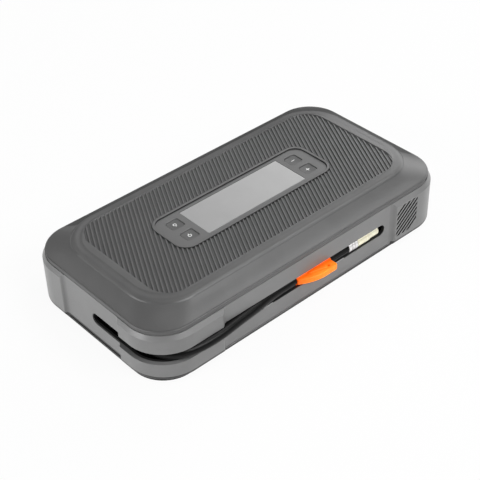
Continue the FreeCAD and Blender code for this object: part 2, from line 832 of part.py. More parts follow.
def display_module():
    """The display itself, standing on the control board."""
    length = lens_length - 2 * lens_ledge - 1.2
    width = lens_width - 2 * lens_ledge - 1.2
    return box(-length / 2, length / 2, -width / 2, width / 2, board_top, panel_height - lens_thickness - slip_gap)


def control_board():
    """The board under the display, with holes for its screws."""
    board = slab(board_length, board_width, 2.0, board_top - board_thickness, board_top)
    holes = [rod((x * board_post_x, y * board_post_y, 0), (0, 0, 1), screw_radius - 0.4, board_top + 1)
             for x in (1, -1) for y in (1, -1)]
    return board.cut(holes)


def key_switches():
    """The tactile switch under each key."""
    switches = []
    for x, y in key_places().values():
        half = switch_side / 2
        body_top = board_top + switch_height - 0.8
        base = box(x - half, x + half, y - half, y + half, board_top, body_top)
        switches.append(base.fuse(rod((x, y, body_top), (0, 0, 1), switch_plunger_radius, 0.8)))
    return Part.makeCompound(switches)


def screw(x, y, z, direction, length, radius, head_radius, head_height):
    """A pan head screw; z is where the head bears."""
    shank = rod((x, y, z), (0, 0, direction), radius, length)
    head = rod((x, y, z), (0, 0, -direction), head_radius, head_height)
    rim = [e for e in head.Edges if all(abs(v.Z - (z - direction * head_height)) < 1e-6 for v in e.Vertexes)]
    head = head.makeFillet(head_height * 0.45, rim)
    slot_bottom = z - direction * head_height * 0.45
    z0, z1 = sorted((slot_bottom, z - direction * (head_height + 1)))
    cross = box(x - 1.5, x + 1.5, y - 0.3, y + 0.3, z0, z1).fuse(box(x - 0.3, x + 0.3, y - 1.5, y + 1.5, z0, z1))
    return head.fuse(shank).cut(cross).removeSplitter()


def board_screws():
    """Four screws that hold the control board to the cover's posts."""
    return Part.makeCompound([
        screw(x * board_post_x, y * board_post_y, board_top - board_thickness, 1, 5.0, screw_radius - 0.45,
              screw_head_radius - 0.4, screw_head_height)
        for x in (1, -1) for y in (1, -1)])


def case_screws():
    """The screws that draw the cover down on the housing."""
    return Part.makeCompound([
        screw(x, y, counterbore_top, 1, case_screw_length, screw_radius, screw_head_radius, 2.0) for x, y in screw_places])


def rubber_feet():
    """Four round feet, glued in shallow seats."""
    feet = []
    for x, y in foot_places:
        pad = rod((x, y, 0), (0, 0, 1), foot_radius, pad_height + foot_seat)
        feet.append(pad.makeFillet(0.4, level_edges(pad, 0)))
    return Part.makeCompound(feet)


def base_pad():
    """The black mat under the case, with holes for its feet and screws."""
    mat = foot_slab(pad_lift, pad_height)
    holes = [rod((x, y, 0), (0, 0, 1), foot_radius + slip_gap, pad_height + 1) for x, y in foot_places]
    holes += [rod((x, y, 0), (0, 0, 1), counterbore_radius, pad_height + 1) for x, y in screw_places]
    return mat.cut(holes)


def hose_channel():
    """The black liner of the groove: a channel with a floor, back, roof and closed ends."""
    solid = groove_cutter(groove_depth, liner_wall)
    solid = solid.common(outline_slab(wall + running_gap, groove_low - liner_wall, groove_high + liner_wall))
    nipple_hole = rod((hose_exit[0], groove_left_end - 1, hose_height), (0, 1, 0), nipple_radius + running_gap, 4)
    return solid.cut([groove_cutter(groove_depth), nipple_hole]).removeSplitter()


def hose_nipple():
    """The brass nipple through the end of the channel, where the hose leaves the case."""
    x, y = hose_exit
    inner = groove_left_end + liner_wall + running_gap
    collar = rod((x, y, hose_height), (0, 1, 0), hose_radius - 0.2, groove_left_end - running_gap - y)
    neck = rod((x, y, hose_height), (0, 1, 0), nipple_radius, inner - y + 0.5)
    nut = prism([(x + (nipple_radius + 1.6) * math.cos(a), inner, hose_height + (nipple_radius + 1.6) * math.sin(a))
                 for a in [math.radians(60 * i) for i in range(6)]], (0, nipple_flange, 0))
    return fuse(collar, neck, nut)


def hose_points():
    """The hose's route from the nipple to its sleeve."""
    points = [hose_exit, *hose_route, (sleeve_start, hose_line_y)]
    return [(x, y, hose_height) for x, y in points]


def air_hose():
    """The rubber hose in the groove."""
    return tube_along(hose_points(), hose_diameter, "air hose")


def hose_sleeve():
    """The sleeve that stiffens the hose behind the chuck, with grip ribs along it."""
    core = rod((sleeve_start, hose_line_y, hose_height), (1, 0, 0), sleeve_core_radius, sleeve_core_end - sleeve_start)
    grip = rod((sleeve_core_end, hose_line_y, hose_height), (1, 0, 0), sleeve_radius, sleeve_end - sleeve_core_end)
    ribs = []
    for index in range(sleeve_rib_count):
        angle = 2 * math.pi * index / sleeve_rib_count
        y = hose_line_y + sleeve_radius * math.cos(angle)
        z = hose_height + sleeve_radius * math.sin(angle)
        ribs.append(rod((sleeve_core_end + 1.5, y, z), (1, 0, 0), 0.3, sleeve_end - sleeve_core_end - 3.0))
    return core.fuse(grip).cut(ribs)


def crimp_ferrule():
    """The steel ferrule crimped on the end of the hose."""
    body = rod((sleeve_end, hose_line_y, hose_height), (1, 0, 0), ferrule_radius, ferrule_end - sleeve_end - 0.2)
    edges = [e for e in body.Edges if e.Curve.TypeId == "Part::GeomCircle"]
    body = body.makeChamfer(0.3, edges)
    rings = []
    for x in (sleeve_end + 2.4, sleeve_end + 4.8):
        outer = rod((x, hose_line_y, hose_height), (1, 0, 0), ferrule_radius + 1, 0.7)
        rings.append(outer.cut(rod((x, hose_line_y, hose_height), (1, 0, 0), ferrule_radius - 0.35, 0.7)))
    spigot = rod((ferrule_end - 0.5, hose_line_y, hose_height), (1, 0, 0), 1.5, 3.5)
    return body.cut(rings).fuse(spigot).removeSplitter()


def air_chuck():
    """The brass screw-on valve chuck: a knurled collar, a smooth nose and a threaded mouth."""
    start = ferrule_end
    collar = rod((start, hose_line_y, hose_height), (1, 0, 0), chuck_radius, chuck_step - start)
    nose = rod((chuck_step, hose_line_y, hose_height), (1, 0, 0), chuck_nose_radius, chuck_end - chuck_step)
    end_edge = [e for e in nose.Edges if e.Curve.TypeId == "Part::GeomCircle" and abs(e.Vertexes[0].X - chuck_end) < 1e-6]
    nose = nose.makeChamfer(0.4, end_edge)
    grips = []
    count = 20
    for index in range(count):
        angle = 2 * math.pi * index / count
        y = hose_line_y + (chuck_radius + 0.12) * math.cos(angle)
        z = hose_height + (chuck_radius + 0.12) * math.sin(angle)
        grips.append(rod((start + 1.0, y, z), (1, 0, 0), 0.32, chuck_step - start - 2.0))
    mouth = rod((chuck_end - chuck_bore_depth, hose_line_y, hose_height), (1, 0, 0), chuck_bore_radius, chuck_bore_depth)
    swivel = rod((start, hose_line_y, hose_height), (1, 0, 0), 1.5 + running_gap, 3.5)
    return fuse(collar, nose).cut(grips + [mouth, swivel]).removeSplitter()


def pull_tab():
    """The orange pull tab: a collar moulded on the sleeve and a flat tongue with a raised pad and a small hole."""
    z0 = hose_height - tab_thickness / 2
    z1 = hose_height + tab_thickness / 2
    collar = rod((tab_start, hose_line_y, hose_height), (1, 0, 0), sleeve_core_radius + tab_collar_wall, tab_end - tab_start)
    tip = -tab_reach
    heel = tip + tab_heel
    belly = V(tab_belly[0], tip + tab_belly[1], z0)
    corners = [V(tab_start, heel, z0), V(tab_start, hose_line_y, z0), V(tab_end, hose_line_y, z0), V(tab_end, tip, z0),
               V(tab_flat_end, tip, z0)]
    edges = [Part.LineSegment(p, q).toShape() for p, q in zip(corners, corners[1:])]
    edges.append(Part.Arc(corners[-1], belly, corners[0]).toShape())
    tongue = Part.Face(Part.Wire(edges)).extrude(V(0, 0, z1 - z0))
    upright = [e for e in tongue.Edges if abs(e.Vertexes[0].Z - e.Vertexes[-1].Z) > 1 and e.Vertexes[0].Y < tip + 1
               and e.Vertexes[0].X > tab_flat_end + 1]
    tongue = tongue.makeFillet(tab_corner_radius, upright)
    rim = [e for e in level_edges(tongue, z1) + level_edges(tongue, z0) if e.BoundBox.YMin < hose_line_y - 1]
    tongue = tongue.makeFillet(0.8, rim)
    pad = slab(tab_pad_length, tab_pad_width, tab_pad_width / 2 - 0.1, z1 - 0.5, z1 + tab_pad_rise)
    pad = pad.makeFillet(0.35, level_edges(pad, z1 + tab_pad_rise))
    pad.rotate(V(0, 0, 0), UP, -tab_pad_turn)
    pad.translate(V(tab_pad_place[0], -half_width - tab_pad_place[1], 0))
    hole = rod((tab_hole_place[0], -half_width - tab_hole_place[1], z0 - 1), (0, 0, 1), tab_hole_radius, tab_thickness + 3)
    bore = rod((tab_start - 1, hose_line_y, hose_height), (1, 0, 0), sleeve_core_radius + running_gap,
               tab_end - tab_start + 2)
    return fuse(collar, tongue, pad).cut([hole, bore]).removeSplitter()


def battery_cells():
    """The four lithium pouch cells by name, in two layers of two."""
    cells = {}
    number = 1
    for layer in range(2):
        for column in range(2):
            y = cell_start_y + column * (cell_width + cell_gap)
            z = inner_floor + pad_thickness + layer * (cell_thickness + cell_gap)
            cell = box(cell_start_x, cell_start_x + cell_length, y, y + cell_width, z, z + cell_thickness)
            long_edges = [e for e in cell.Edges if abs(e.Vertexes[0].X - e.Vertexes[-1].X) > cell_length / 2]
            cells["battery_cell_%d" % number] = cell.makeFillet(cell_radius, long_edges)
            number += 1
    return cells


def battery_pads():
    """Foam under and over the cells."""
    x1 = cell_start_x + cell_length
    y1 = cell_start_y + 2 * cell_width + cell_gap
    under = box(cell_start_x, x1, cell_start_y + 4, y1 - 4, inner_floor, inner_floor + pad_thickness)
    over = box(cell_start_x + 6, x1 - 6, cell_start_y + 6, y1 - 6, cell_top, cell_top + pad_thickness)
    return Part.makeCompound([under, over])


def cell_board():
    """The board at the end of the cells that balances and protects them."""
    x0 = cell_start_x + cell_length + tab_strip_thickness
    y1 = cell_start_y + 2 * cell_width + cell_gap
    z0 = inner_floor + pad_thickness + 0.3
    return box(x0, x0 + cell_board_thickness, cell_start_y + 4, y1 - 0.8, z0, z0 + cell_board_height)


def cell_tabs():
    """The nickel tabs that join the cells to their board."""
    x0 = cell_start_x + cell_length
    strips = []
    for layer in range(2):
        for column in range(2):
            y = cell_start_y + column * (cell_width + cell_gap)
            z = inner_floor + pad_thickness + layer * (cell_thickness + cell_gap) + cell_thickness / 2
            for share in (0.27, 0.73):
                middle = y + cell_width * share
                strips.append(box(x0, x0 + tab_strip_thickness, middle - tab_strip_width / 2, middle + tab_strip_width / 2,
                                  z - 4.0, z + 4.0))
    return Part.makeCompound(strips)


def gear(teeth, bore_radius, phase):
    """An involute spur gear in the XZ plane, with its bore, standing on y = 0 and gear_width deep."""
    pitch = gear_module * teeth / 2
    pressure = math.radians(pressure_angle)
    base = pitch * math.cos(pressure)
    tip = pitch + 0.9 * gear_module
    root = pitch - 1.15 * gear_module
    half_tooth = math.pi / (2 * teeth) - tooth_slack / (2 * pitch)
    involute_pitch = math.tan(pressure) - pressure

    def flank(radius):
        """Half the tooth's angle at a radius."""
        if radius <= base:
            return half_tooth + involute_pitch
        angle = math.acos(base / radius)
        return half_tooth + involute_pitch - (math.tan(angle) - angle)

    start = max(base, root)
    radii = [start + (tip - start) * step / 4 for step in range(5)]
    points = []
    for tooth in range(teeth):
        middle = 2 * math.pi * tooth / teeth + phase
        outline = [(root, middle - flank(start))] if root < start else []
        outline += [(r, middle - flank(r)) for r in radii]
        outline += [(r, middle + flank(r)) for r in reversed(radii)]
        outline += [(root, middle + flank(start))] if root < start else []
        points += [(r * math.cos(a), 0, r * math.sin(a)) for r, a in outline]
    blank = prism(points, (0, gear_width, 0))
    return blank.cut(rod((0, -1, 0), (0, 1, 0), bore_radius, gear_width + 2))


def drive_pinion():
    """The brass pinion on the motor's shaft."""
    pinion = gear(pinion_teeth, shaft_radius - 0.01, math.pi / pinion_teeth)
    pinion.translate(V(motor_x, gear_front, drive_z))
    return pinion


def crank_gear():
    """The big gear with its crank pin, and a web lightened by round holes."""
    wheel = gear(gear_teeth, axle_radius + running_gap, 0.0)
    wheel.translate(V(crank_x, gear_front, drive_z))
    holes = [rod((crank_x + 9.0 * math.cos(a), gear_front - 1, drive_z + 9.0 * math.sin(a)), (0, 1, 0), 2.2, gear_width + 2)
             for a in [math.radians(60 * i + 60) for i in range(5) if i != 2]]
    pin = rod((crank_x - crank_radius, gear_front + gear_width - 0.5, drive_z), (0, 1, 0), crank_pin_radius,
              crank_pin_length + 0.5)
    hub = rod((crank_x, gear_front - 1.2, drive_z), (0, 1, 0), axle_radius + 1.8, 1.2 + 0.5)
    bore = rod((crank_x, gear_front - 2, drive_z), (0, 1, 0), axle_radius + running_gap, gear_width + 3)
    return fuse(wheel, hub, pin).cut(holes + [bore]).removeSplitter()


def compressor_motor():
    """The motor's can, with its front boss and vent windows at the fan's end."""
    can = rod((motor_x, motor_front, drive_z), (0, 1, 0), motor_radius, motor_back - motor_front)
    edges = [e for e in can.Edges if e.Curve.TypeId == "Part::GeomCircle"]
    can = can.makeFillet(1.5, edges)
    windows = []
    for index in range(4):
        window = box(-3.0, 3.0, motor_front + 4, motor_front + 12, motor_radius - 1.2, motor_radius + 1)
        window.rotate(V(0, 0, 0), V(0, 1, 0), 45 + 90 * index)
        window.translate(V(motor_x, 0, drive_z))
        windows.append(window)
    boss = rod((motor_x, motor_front - motor_boss_length, drive_z), (0, 1, 0), motor_boss_radius, motor_boss_length + 1)
    bore = rod((motor_x, motor_front - motor_boss_length - 1, drive_z), (0, 1, 0), shaft_radius + running_gap,
               motor_back - motor_front + motor_boss_length + 2)
    return fuse(can, boss).cut(windows + [bore]).removeSplitter()


def motor_shaft():
    """The steel shaft through the motor, from the fan to the pinion."""
    start = fan_front
    end = gear_front + gear_width + 0.5
    return rod((motor_x, start, drive_z), (0, 1, 0), shaft_radius - 0.02, end - start)


def cooling_fan():
    """The fan on the motor's free end, close behind the vent."""
    hub = rod((motor_x, fan_front, drive_z), (0, 1, 0), fan_hub_radius, fan_depth)
    blades = []
    for index in range(fan_blades):
        blade = box(fan_hub_radius - 0.6, fan_radius, -3.6, 3.6, -0.5, 0.5)
        blade.rotate(V(0, 0, 0), V(1, 0, 0), 38)
        blade.rotate(V(0, 0, 0), V(0, 1, 0), 360 * index / fan_blades)
        blade.translate(V(motor_x, fan_front + fan_depth / 2, drive_z))
        blades.append(blade)
    trim = rod((motor_x, fan_front, drive_z), (0, 1, 0), fan_radius, fan_depth)
    fan = fuse(hub, *[b.common(trim) for b in blades])
    return fan.cut(rod((motor_x, fan_front - 1, drive_z), (0, 1, 0), shaft_radius - 0.01, fan_depth + 2))


def crankcase():
    """The die-cast frame: a plate behind the motor, the crank's axle and the finned cylinder."""
    outer = cylinder_bore + cylinder_wall
    plate = box(cylinder_start + 1, motor_x + 13.5, motor_back, motor_back + plate_thickness,
                drive_z - 11.5, drive_z + 11.5)
    upright = [e for e in plate.Edges if abs(e.Vertexes[0].Y - e.Vertexes[-1].Y) > 1]
    plate = plate.makeFillet(4.0, upright)
    barrel = rod((cylinder_start, cylinder_y, drive_z), (1, 0, 0), outer, cylinder_length)
    bridge = box(cylinder_start + 2, cylinder_start + cylinder_length, motor_back + 1, cylinder_y, drive_z - 5, drive_z + 5)
    fins = [rod((cylinder_start + 4 + 5 * i, cylinder_y, drive_z), (1, 0, 0), outer + fin_reach, 1.4)
            for i in range(fin_count)]
    axle = rod((crank_x, motor_back + 1, drive_z), (0, 1, 0), axle_radius, gear_front + gear_width - motor_back - 1)
    case = fuse(plate, bridge, barrel, axle, *fins)
    bore = rod((cylinder_start - 1, cylinder_y, drive_z), (1, 0, 0), cylinder_bore, cylinder_length + 2)
    shaft_hole = rod((motor_x, motor_back - 1, drive_z), (0, 1, 0), shaft_radius + 1.0, plate_thickness + 2)
    return case.cut([bore, shaft_hole]).removeSplitter()


def piston():
    """The piston and its rod in one piece, as in small compressors, with the big end's eye."""
    crown = cylinder_start + piston_crown_gap
    head = rod((crown, cylinder_y, drive_z), (1, 0, 0), cylinder_bore - running_gap, piston_length)
    groove = rod((crown + 2, cylinder_y, drive_z), (1, 0, 0), cylinder_bore + 1, 1.6).cut(
        rod((crown + 2, cylinder_y, drive_z), (1, 0, 0), cylinder_bore - 1.0, 1.6))
    pin_x = crank_x - crank_radius
    beam = box(crown + piston_length - 1, pin_x, cylinder_y - rod_width / 2, cylinder_y + rod_width / 2,
               drive_z - rod_height / 2, drive_z + rod_height / 2)
    eye = rod((pin_x, cylinder_y - rod_width / 2, drive_z), (0, 1, 0), rod_height - 0.6, rod_width)
    hole = rod((pin_x, cylinder_y - rod_width / 2 - 1, drive_z), (0, 1, 0), crank_pin_radius + running_gap, rod_width + 2)
    return fuse(head.cut(groove), beam, eye).cut(hole).removeSplitter()


def piston_ring():
    """The sealing ring in the piston's groove."""
    crown = cylinder_start + piston_crown_gap
    x = crown + 2 + running_gap
    width = 1.6 - 2 * running_gap
    ring = rod((x, cylinder_y, drive_z), (1, 0, 0), cylinder_bore - 0.02, width)
    return ring.cut(rod((x, cylinder_y, drive_z), (1, 0, 0), cylinder_bore - 0.95, width))


def cylinder_head():
    """The head with its outlet spigot, and four screws' lugs."""
    x = cylinder_start - head_thickness
    outer = cylinder_bore + cylinder_wall
    disc = rod((x, cylinder_y, drive_z), (1, 0, 0), outer, head_thickness)
    spigot = rod((x + head_thickness / 2, cylinder_y, drive_z), (0, 1, 0), outlet_radius, outer + 1.6)
    head = fuse(disc, spigot)
    holes = [rod((x - 1, cylinder_y + 10.2 * math.cos(a), drive_z + 10.2 * math.sin(a)), (1, 0, 0), 0.9, head_thickness + 1)
             for a in [math.radians(45 + 90 * i) for i in range(4)]]
    return head.cut(holes)


def air_tube():
    """The tube inside the case from the compressor's outlet to the hose's nipple."""
    start_x = cylinder_start - head_thickness / 2
    start_y = cylinder_y + cylinder_bore + cylinder_wall + 1.6
    end_y = groove_left_end + liner_wall + running_gap + nipple_flange
    points = [(start_x, start_y, drive_z), *air_tube_route, (hose_exit[0], end_y, hose_height)]
    return tube_along(points, air_tube_diameter, "air tube")


def power_board():
    """The board at the right end that carries the jump socket, the relay and the torch's driver."""
    top = power_board_z + board_thickness
    board = box(*power_board_x, *power_board_y, power_board_z, top)
    arm = box(power_board_x[0], power_board_arm[0], power_board_y[1], power_board_arm[1], power_board_z, top)
    return fuse(board, arm)


def power_board_stands():
    """Spacers that the power board and its neighbours stand on."""
    x0, x1 = power_board_x
    y0, y1 = power_board_y
    return Part.makeCompound([
        rod((x, y, inner_floor), (0, 0, 1), 2.0, power_board_z - inner_floor)
        for x in (x0 + 3, x1 - 6) for y in (y0 + 4, y1 - 4)])


def power_relay():
    """The relay that switches the jump output."""
    wide, long, high = relay_size
    x0 = power_board_x[0] + 2.0
    y1 = power_board_y[1] - 1.0
    z0 = power_board_z + board_thickness
    block = box(x0, x0 + wide, y1 - long, y1, z0, z0 + high)
    return block.makeFillet(0.8, level_edges(block, z0 + high))


def jump_socket():
    """The jump output: a keyed block with two round sockets, on legs down to its board."""
    y0 = socket_y - socket_length / 2
    y1 = socket_y + socket_length / 2
    z0 = socket_z - socket_height / 2
    z1 = socket_z + socket_height / 2
    profile = [(socket_start, y0 + 3, z0), (socket_start, y1, z0), (socket_start, y1, z1), (socket_start, y0 + 3, z1),
               (socket_start, y0, z1 - 3), (socket_start, y0, z0 + 3)]
    block = prism(profile, (socket_face - socket_start, 0, 0))
    foot = box(socket_start, socket_face - 2, y0 + 5, y1 - 2, power_board_z + board_thickness, z0 + 1)
    holes = [rod((socket_face - socket_hole_depth, socket_y + s * socket_hole_gap / 2, socket_z), (1, 0, 0),
                 socket_hole_radius, socket_hole_depth + 1) for s in (1, -1)]
    return fuse(block, foot).cut(holes)


def port_board():
    """The small board behind the back cover that carries the charging ports."""
    board = box(*port_board_x, *port_board_y, port_board_z, port_board_z + board_thickness)
    holes = [rod((x, y, 0), (0, 0, 1), 1.0, port_board_z + 5) for x, y in post_places]
    return board.cut(holes)


def usb_shell(width, height, depth, x, tongue_height, radius):
    """A metal port shell open towards the back, with its tongue."""
    y1 = half_width - door_thickness - door_rim_depth - 1.0
    z0 = port_board_z + board_thickness
    outer = box(x - width / 2, x + width / 2, y1 - depth, y1, z0, z0 + height)
    along = [e for e in outer.Edges if abs(e.Vertexes[0].Y - e.Vertexes[-1].Y) > depth / 2]
    outer = outer.makeFillet(radius, along)
    skin = 0.4
    inner = box(x - width / 2 + skin, x + width / 2 - skin, y1 - depth + 1.0, y1 + 1, z0 + skin, z0 + height - skin)
    along = [e for e in inner.Edges if abs(e.Vertexes[0].Y - e.Vertexes[-1].Y) > depth / 2]
    inner = inner.makeFillet(radius * 0.8, along)
    middle = z0 + height / 2
    tongue = box(x - width / 2 + 1.4, x + width / 2 - 1.4, y1 - depth + 0.5, y1 - 1.2, middle - tongue_height / 2,
                 middle + tongue_height / 2)
    return fuse(outer.cut(inner), tongue)


def usb_a_ports():
    """Two large charging outputs side by side."""
    return Part.makeCompound([usb_shell(13.2, 5.8, 14.0, port_centre_x + shift, 1.8, 0.4) for shift in (-11.6, 2.2)])


def usb_c_port():
    """The small oval charging port."""
    return usb_shell(8.8, 3.3, 8.0, port_centre_x + 14.0, 0.7, 1.2)


def torch_parts():
    """The torch at the right end: its lens, reflector and lamp board by name."""
    lens = rod((half_length - 1.6, torch_y, torch_z), (1, 0, 0), torch_radius, 1.6)
    lens = lens.makeFillet(0.5, [e for e in lens.Edges if all(abs(v.X - half_length) < 1e-6 for v in e.Vertexes)])
    back = half_length - 1.6 - torch_depth
    cup = rod((back, torch_y, torch_z), (1, 0, 0), torch_radius, torch_depth)
    hollow = Part.makeCone(1.8, torch_radius - 0.5, torch_depth - 0.2, V(back + 0.2, torch_y, torch_z), V(1, 0, 0))
    lamp_hole = rod((back - 1, torch_y, torch_z), (1, 0, 0), 1.8, 3)
    board = box(back - 1.2, back, torch_y - 6, torch_y + 6, power_board_z + board_thickness, torch_z + 6)
    lamp = box(back - 0.2, back + 0.6, torch_y - 1.2, torch_y + 1.2, torch_z - 1.2, torch_z + 1.2)
    return {"torch_lens": lens, "torch_reflector": cup.cut([hollow, lamp_hole]), "torch_lamp": fuse(board, lamp)}


def battery_leads():
    """The two heavy leads from the cell board to the power board, by name."""
    leads = {}
    for name, shift in (("lead_negative", 0.0), ("lead_positive", lead_spacing)):
        leads[name] = tube_along([(x, y + shift, z) for x, y, z in lead_route], lead_diameter, name)
    return leads


def lead_terminals():
    """The terminal block on the power board that the leads end in."""
    x0 = lead_route[-1][0]
    y0 = lead_route[-1][1] + lead_spacing / 2 - terminal_size[1] / 2
    z0 = power_board_z + board_thickness
    return box(x0, x0 + terminal_size[0], y0, y0 + terminal_size[1], z0, z0 + terminal_size[2])


def build():
    """Every node by name."""
    nodes = {
        "lower_housing": lower_housing(),
        "top_cover": top_cover(),
        "display_panel": display_panel(),
        "display_lens": display_lens(),
        "display_module": display_module(),
        "control_board": control_board(),
        "key_switches": key_switches(),
        "board_screws": board_screws(),
        "case_screws": case_screws(),
        "rubber_feet": rubber_feet(),
        "base_pad": base_pad(),
        "hose_channel": hose_channel(),
        "hose_nipple": hose_nipple(),
        "air_hose": air_hose(),
        "hose_sleeve": hose_sleeve(),
        "crimp_ferrule": crimp_ferrule(),
        "air_chuck": air_chuck(),
        "pull_tab": pull_tab(),
        "battery_pads": battery_pads(),
        "cell_board": cell_board(),
        "cell_tabs": cell_tabs(),
        "compressor_motor": compressor_motor(),
        "motor_shaft": motor_shaft(),
        "cooling_fan": cooling_fan(),
        "drive_pinion": drive_pinion(),
        "crank_gear": crank_gear(),
        "crankcase": crankcase(),
        "piston": piston(),
        "piston_ring": piston_ring(),
        "cylinder_head": cylinder_head(),
        "air_tube": air_tube(),
        "power_board": power_board(),
        "power_board_stands": power_board_stands(),
        "power_relay": power_relay(),
        "jump_socket": jump_socket(),
        "port_board": port_board(),
        "usb_a_ports": usb_a_ports(),
        "usb_c_port": usb_c_port(),
        "lead_terminals": lead_terminals(),
        "jump_cover": door_place(socket_cover("end"), "end"),
        "jump_cover_pin": door_place(hinge_pin("end"), "end"),
        "port_cover": door_place(socket_cover("back"), "back"),
        "port_cover_pin": door_place(hinge_pin("back"), "back"),
    }
    for name, (x, y) in key_places().items():
        nodes[name] = key(x, y)
    nodes.update(battery_cells())
    nodes.update(torch_parts())
    nodes.update(battery_leads())
    return nodes


def main():
    """Writes one STEP file for each node."""
    os.makedirs("parts", exist_ok=True)
    for name, shape in build().items():
        shape.exportStep(os.path.join("parts", name + ".step"))
        box_size = shape.optimalBoundingBox(True, False)
        print("%-20s solids %d valid %s volume %.1f box x %.1f %.1f y %.1f %.1f z %.1f %.1f" % (
            name, len(shape.Solids), shape.isValid(), shape.Volume, box_size.XMin, box_size.XMax, box_size.YMin,
            box_size.YMax, box_size.ZMin, box_size.ZMax))


main()
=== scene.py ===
import math

import bmesh
import bpy
from mathutils import Matrix, Vector
from mathutils.bvhtree import BVHTree


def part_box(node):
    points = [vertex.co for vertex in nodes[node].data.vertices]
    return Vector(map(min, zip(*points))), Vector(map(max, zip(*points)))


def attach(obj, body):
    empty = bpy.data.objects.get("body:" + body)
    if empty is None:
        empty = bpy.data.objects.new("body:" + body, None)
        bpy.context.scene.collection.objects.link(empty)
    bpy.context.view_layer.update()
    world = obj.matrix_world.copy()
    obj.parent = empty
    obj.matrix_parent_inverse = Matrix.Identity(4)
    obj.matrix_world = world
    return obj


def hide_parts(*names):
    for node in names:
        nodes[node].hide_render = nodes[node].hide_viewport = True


# Looks of the jump starter pack, in metres. Z is up, and its long front side with the hose is at -Y.
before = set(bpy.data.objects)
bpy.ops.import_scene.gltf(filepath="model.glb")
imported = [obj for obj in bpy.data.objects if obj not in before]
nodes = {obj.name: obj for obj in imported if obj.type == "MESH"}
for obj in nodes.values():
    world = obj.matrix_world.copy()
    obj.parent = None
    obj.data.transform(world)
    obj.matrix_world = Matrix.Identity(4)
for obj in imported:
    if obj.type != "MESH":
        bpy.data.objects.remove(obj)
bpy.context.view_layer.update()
scene = bpy.context.scene
MM = 0.001

# Camera
# A long lens in front of the pack's left corner, looking down on it. The camera leans by a degree and a half.
azimuth = math.radians(-41.324)
elevation = math.radians(38.245)
lean = math.radians(-1.507)
camera_place = Vector((-0.39876, -0.44910, 0.48213))
level_back = Vector((math.sin(azimuth), -math.cos(azimuth), 0.0))
back = level_back * math.cos(elevation) + Vector((0.0, 0.0, math.sin(elevation)))
level_right = Vector((math.cos(azimuth), math.sin(azimuth), 0.0))
level_up = back.cross(level_right)
right = level_right * math.cos(lean) + level_up * math.sin(lean)
up = level_up * math.cos(lean) - level_right * math.sin(lean)
camera_data = bpy.data.cameras.new("camera")
camera_data.sensor_width = 36.0
camera_data.lens = 87.07
camera_data.clip_start = 0.01
camera = bpy.data.objects.new("camera", camera_data)
scene.collection.objects.link(camera)
camera.matrix_world = Matrix((
    (right.x, up.x, back.x, camera_place.x),
    (right.y, up.y, back.y, camera_place.y),
    (right.z, up.z, back.z, camera_place.z),
    (0.0, 0.0, 0.0, 1.0),
))
scene.camera = camera
scene.view_settings.view_transform = "Standard"


# Air hose
# A black rubber pressure hose leaves a brass nipple in the left end of the groove, bends round the front corner
# and runs to the sleeve behind the valve chuck. It is extruded and cut to length, and springy, so its bend is wide.
def finish(name, roughness, metallic=0.0, specular=0.5):
    """A new material and its main shader with the plain settings of one finish."""
    material = bpy.data.materials.new(name)
    material.use_nodes = True
    tree = material.node_tree
    shader = tree.nodes["Principled BSDF"]
    shader.inputs["Roughness"].default_value = roughness
    shader.inputs["Metallic"].default_value = metallic
    shader.inputs["Specular IOR Level"].default_value = specular
    return material, tree, shader


def place(tree, stretch=(1.0, 1.0, 1.0), turn=(0.0, 0.0, 0.0)):
    """The piece's own coordinates, turned and stretched for a pattern."""
    here = tree.nodes.new("ShaderNodeTexCoord")
    mapping = tree.nodes.new("ShaderNodeMapping")
    mapping.inputs["Scale"].default_value = stretch
    mapping.inputs["Rotation"].default_value = turn
    tree.links.new(here.outputs["Object"], mapping.inputs["Vector"])
    return mapping.outputs["Vector"]


def grain(tree, vector, size, detail=3.0, distortion=0.0):
    """Noise whose spots are about as wide as a size in metres."""
    noise = tree.nodes.new("ShaderNodeTexNoise")
    noise.inputs["Scale"].default_value = 1.0 / size
    noise.inputs["Detail"].default_value = detail
    noise.inputs["Distortion"].default_value = distortion
    tree.links.new(vector, noise.inputs["Vector"])
    return noise.outputs["Fac"]


def cells(tree, vector, size, feature="F1"):
    """Cell noise whose cells are about as wide as a size in metres."""
    voronoi = tree.nodes.new("ShaderNodeTexVoronoi")
    voronoi.feature = feature
    voronoi.inputs["Scale"].default_value = 1.0 / size
    tree.links.new(vector, voronoi.inputs["Vector"])
    return voronoi.outputs["Distance"]


def shades(tree, amount, dark, light, low=0.3, high=0.7):
    """A colour that goes from dark to light as an amount goes from low to high."""
    ramp = tree.nodes.new("ShaderNodeValToRGB")
    ramp.color_ramp.elements[0].position = low
    ramp.color_ramp.elements[1].position = high
    ramp.color_ramp.elements[0].color = (*dark, 1.0)
    ramp.color_ramp.elements[1].color = (*light, 1.0)
    tree.links.new(amount, ramp.inputs["Fac"])
    return ramp.outputs["Color"]


def spread(tree, amount, to_low, to_high, low=0.3, high=0.7):
    """An amount from low to high brought to another range."""
    span = tree.nodes.new("ShaderNodeMapRange")
    span.inputs["From Min"].default_value = low
    span.inputs["From Max"].default_value = high
    span.inputs["To Min"].default_value = to_low
    span.inputs["To Max"].default_value = to_high
    tree.links.new(amount, span.inputs["Value"])
    return span.outputs["Result"]


def relief(tree, shader, *layers):
    """Fine relief on a surface, from layers of height socket, depth in metres and strength."""
    normal = None
    for height, depth, strength in layers:
        bump = tree.nodes.new("ShaderNodeBump")
        bump.inputs["Distance"].default_value = depth
        bump.inputs["Strength"].default_value = strength
        tree.links.new(height, bump.inputs["Height"])
        if normal is not None:
            tree.links.new(normal, bump.inputs["Normal"])
        normal = bump.outputs["Normal"]
    tree.links.new(normal, shader.inputs["Normal"])


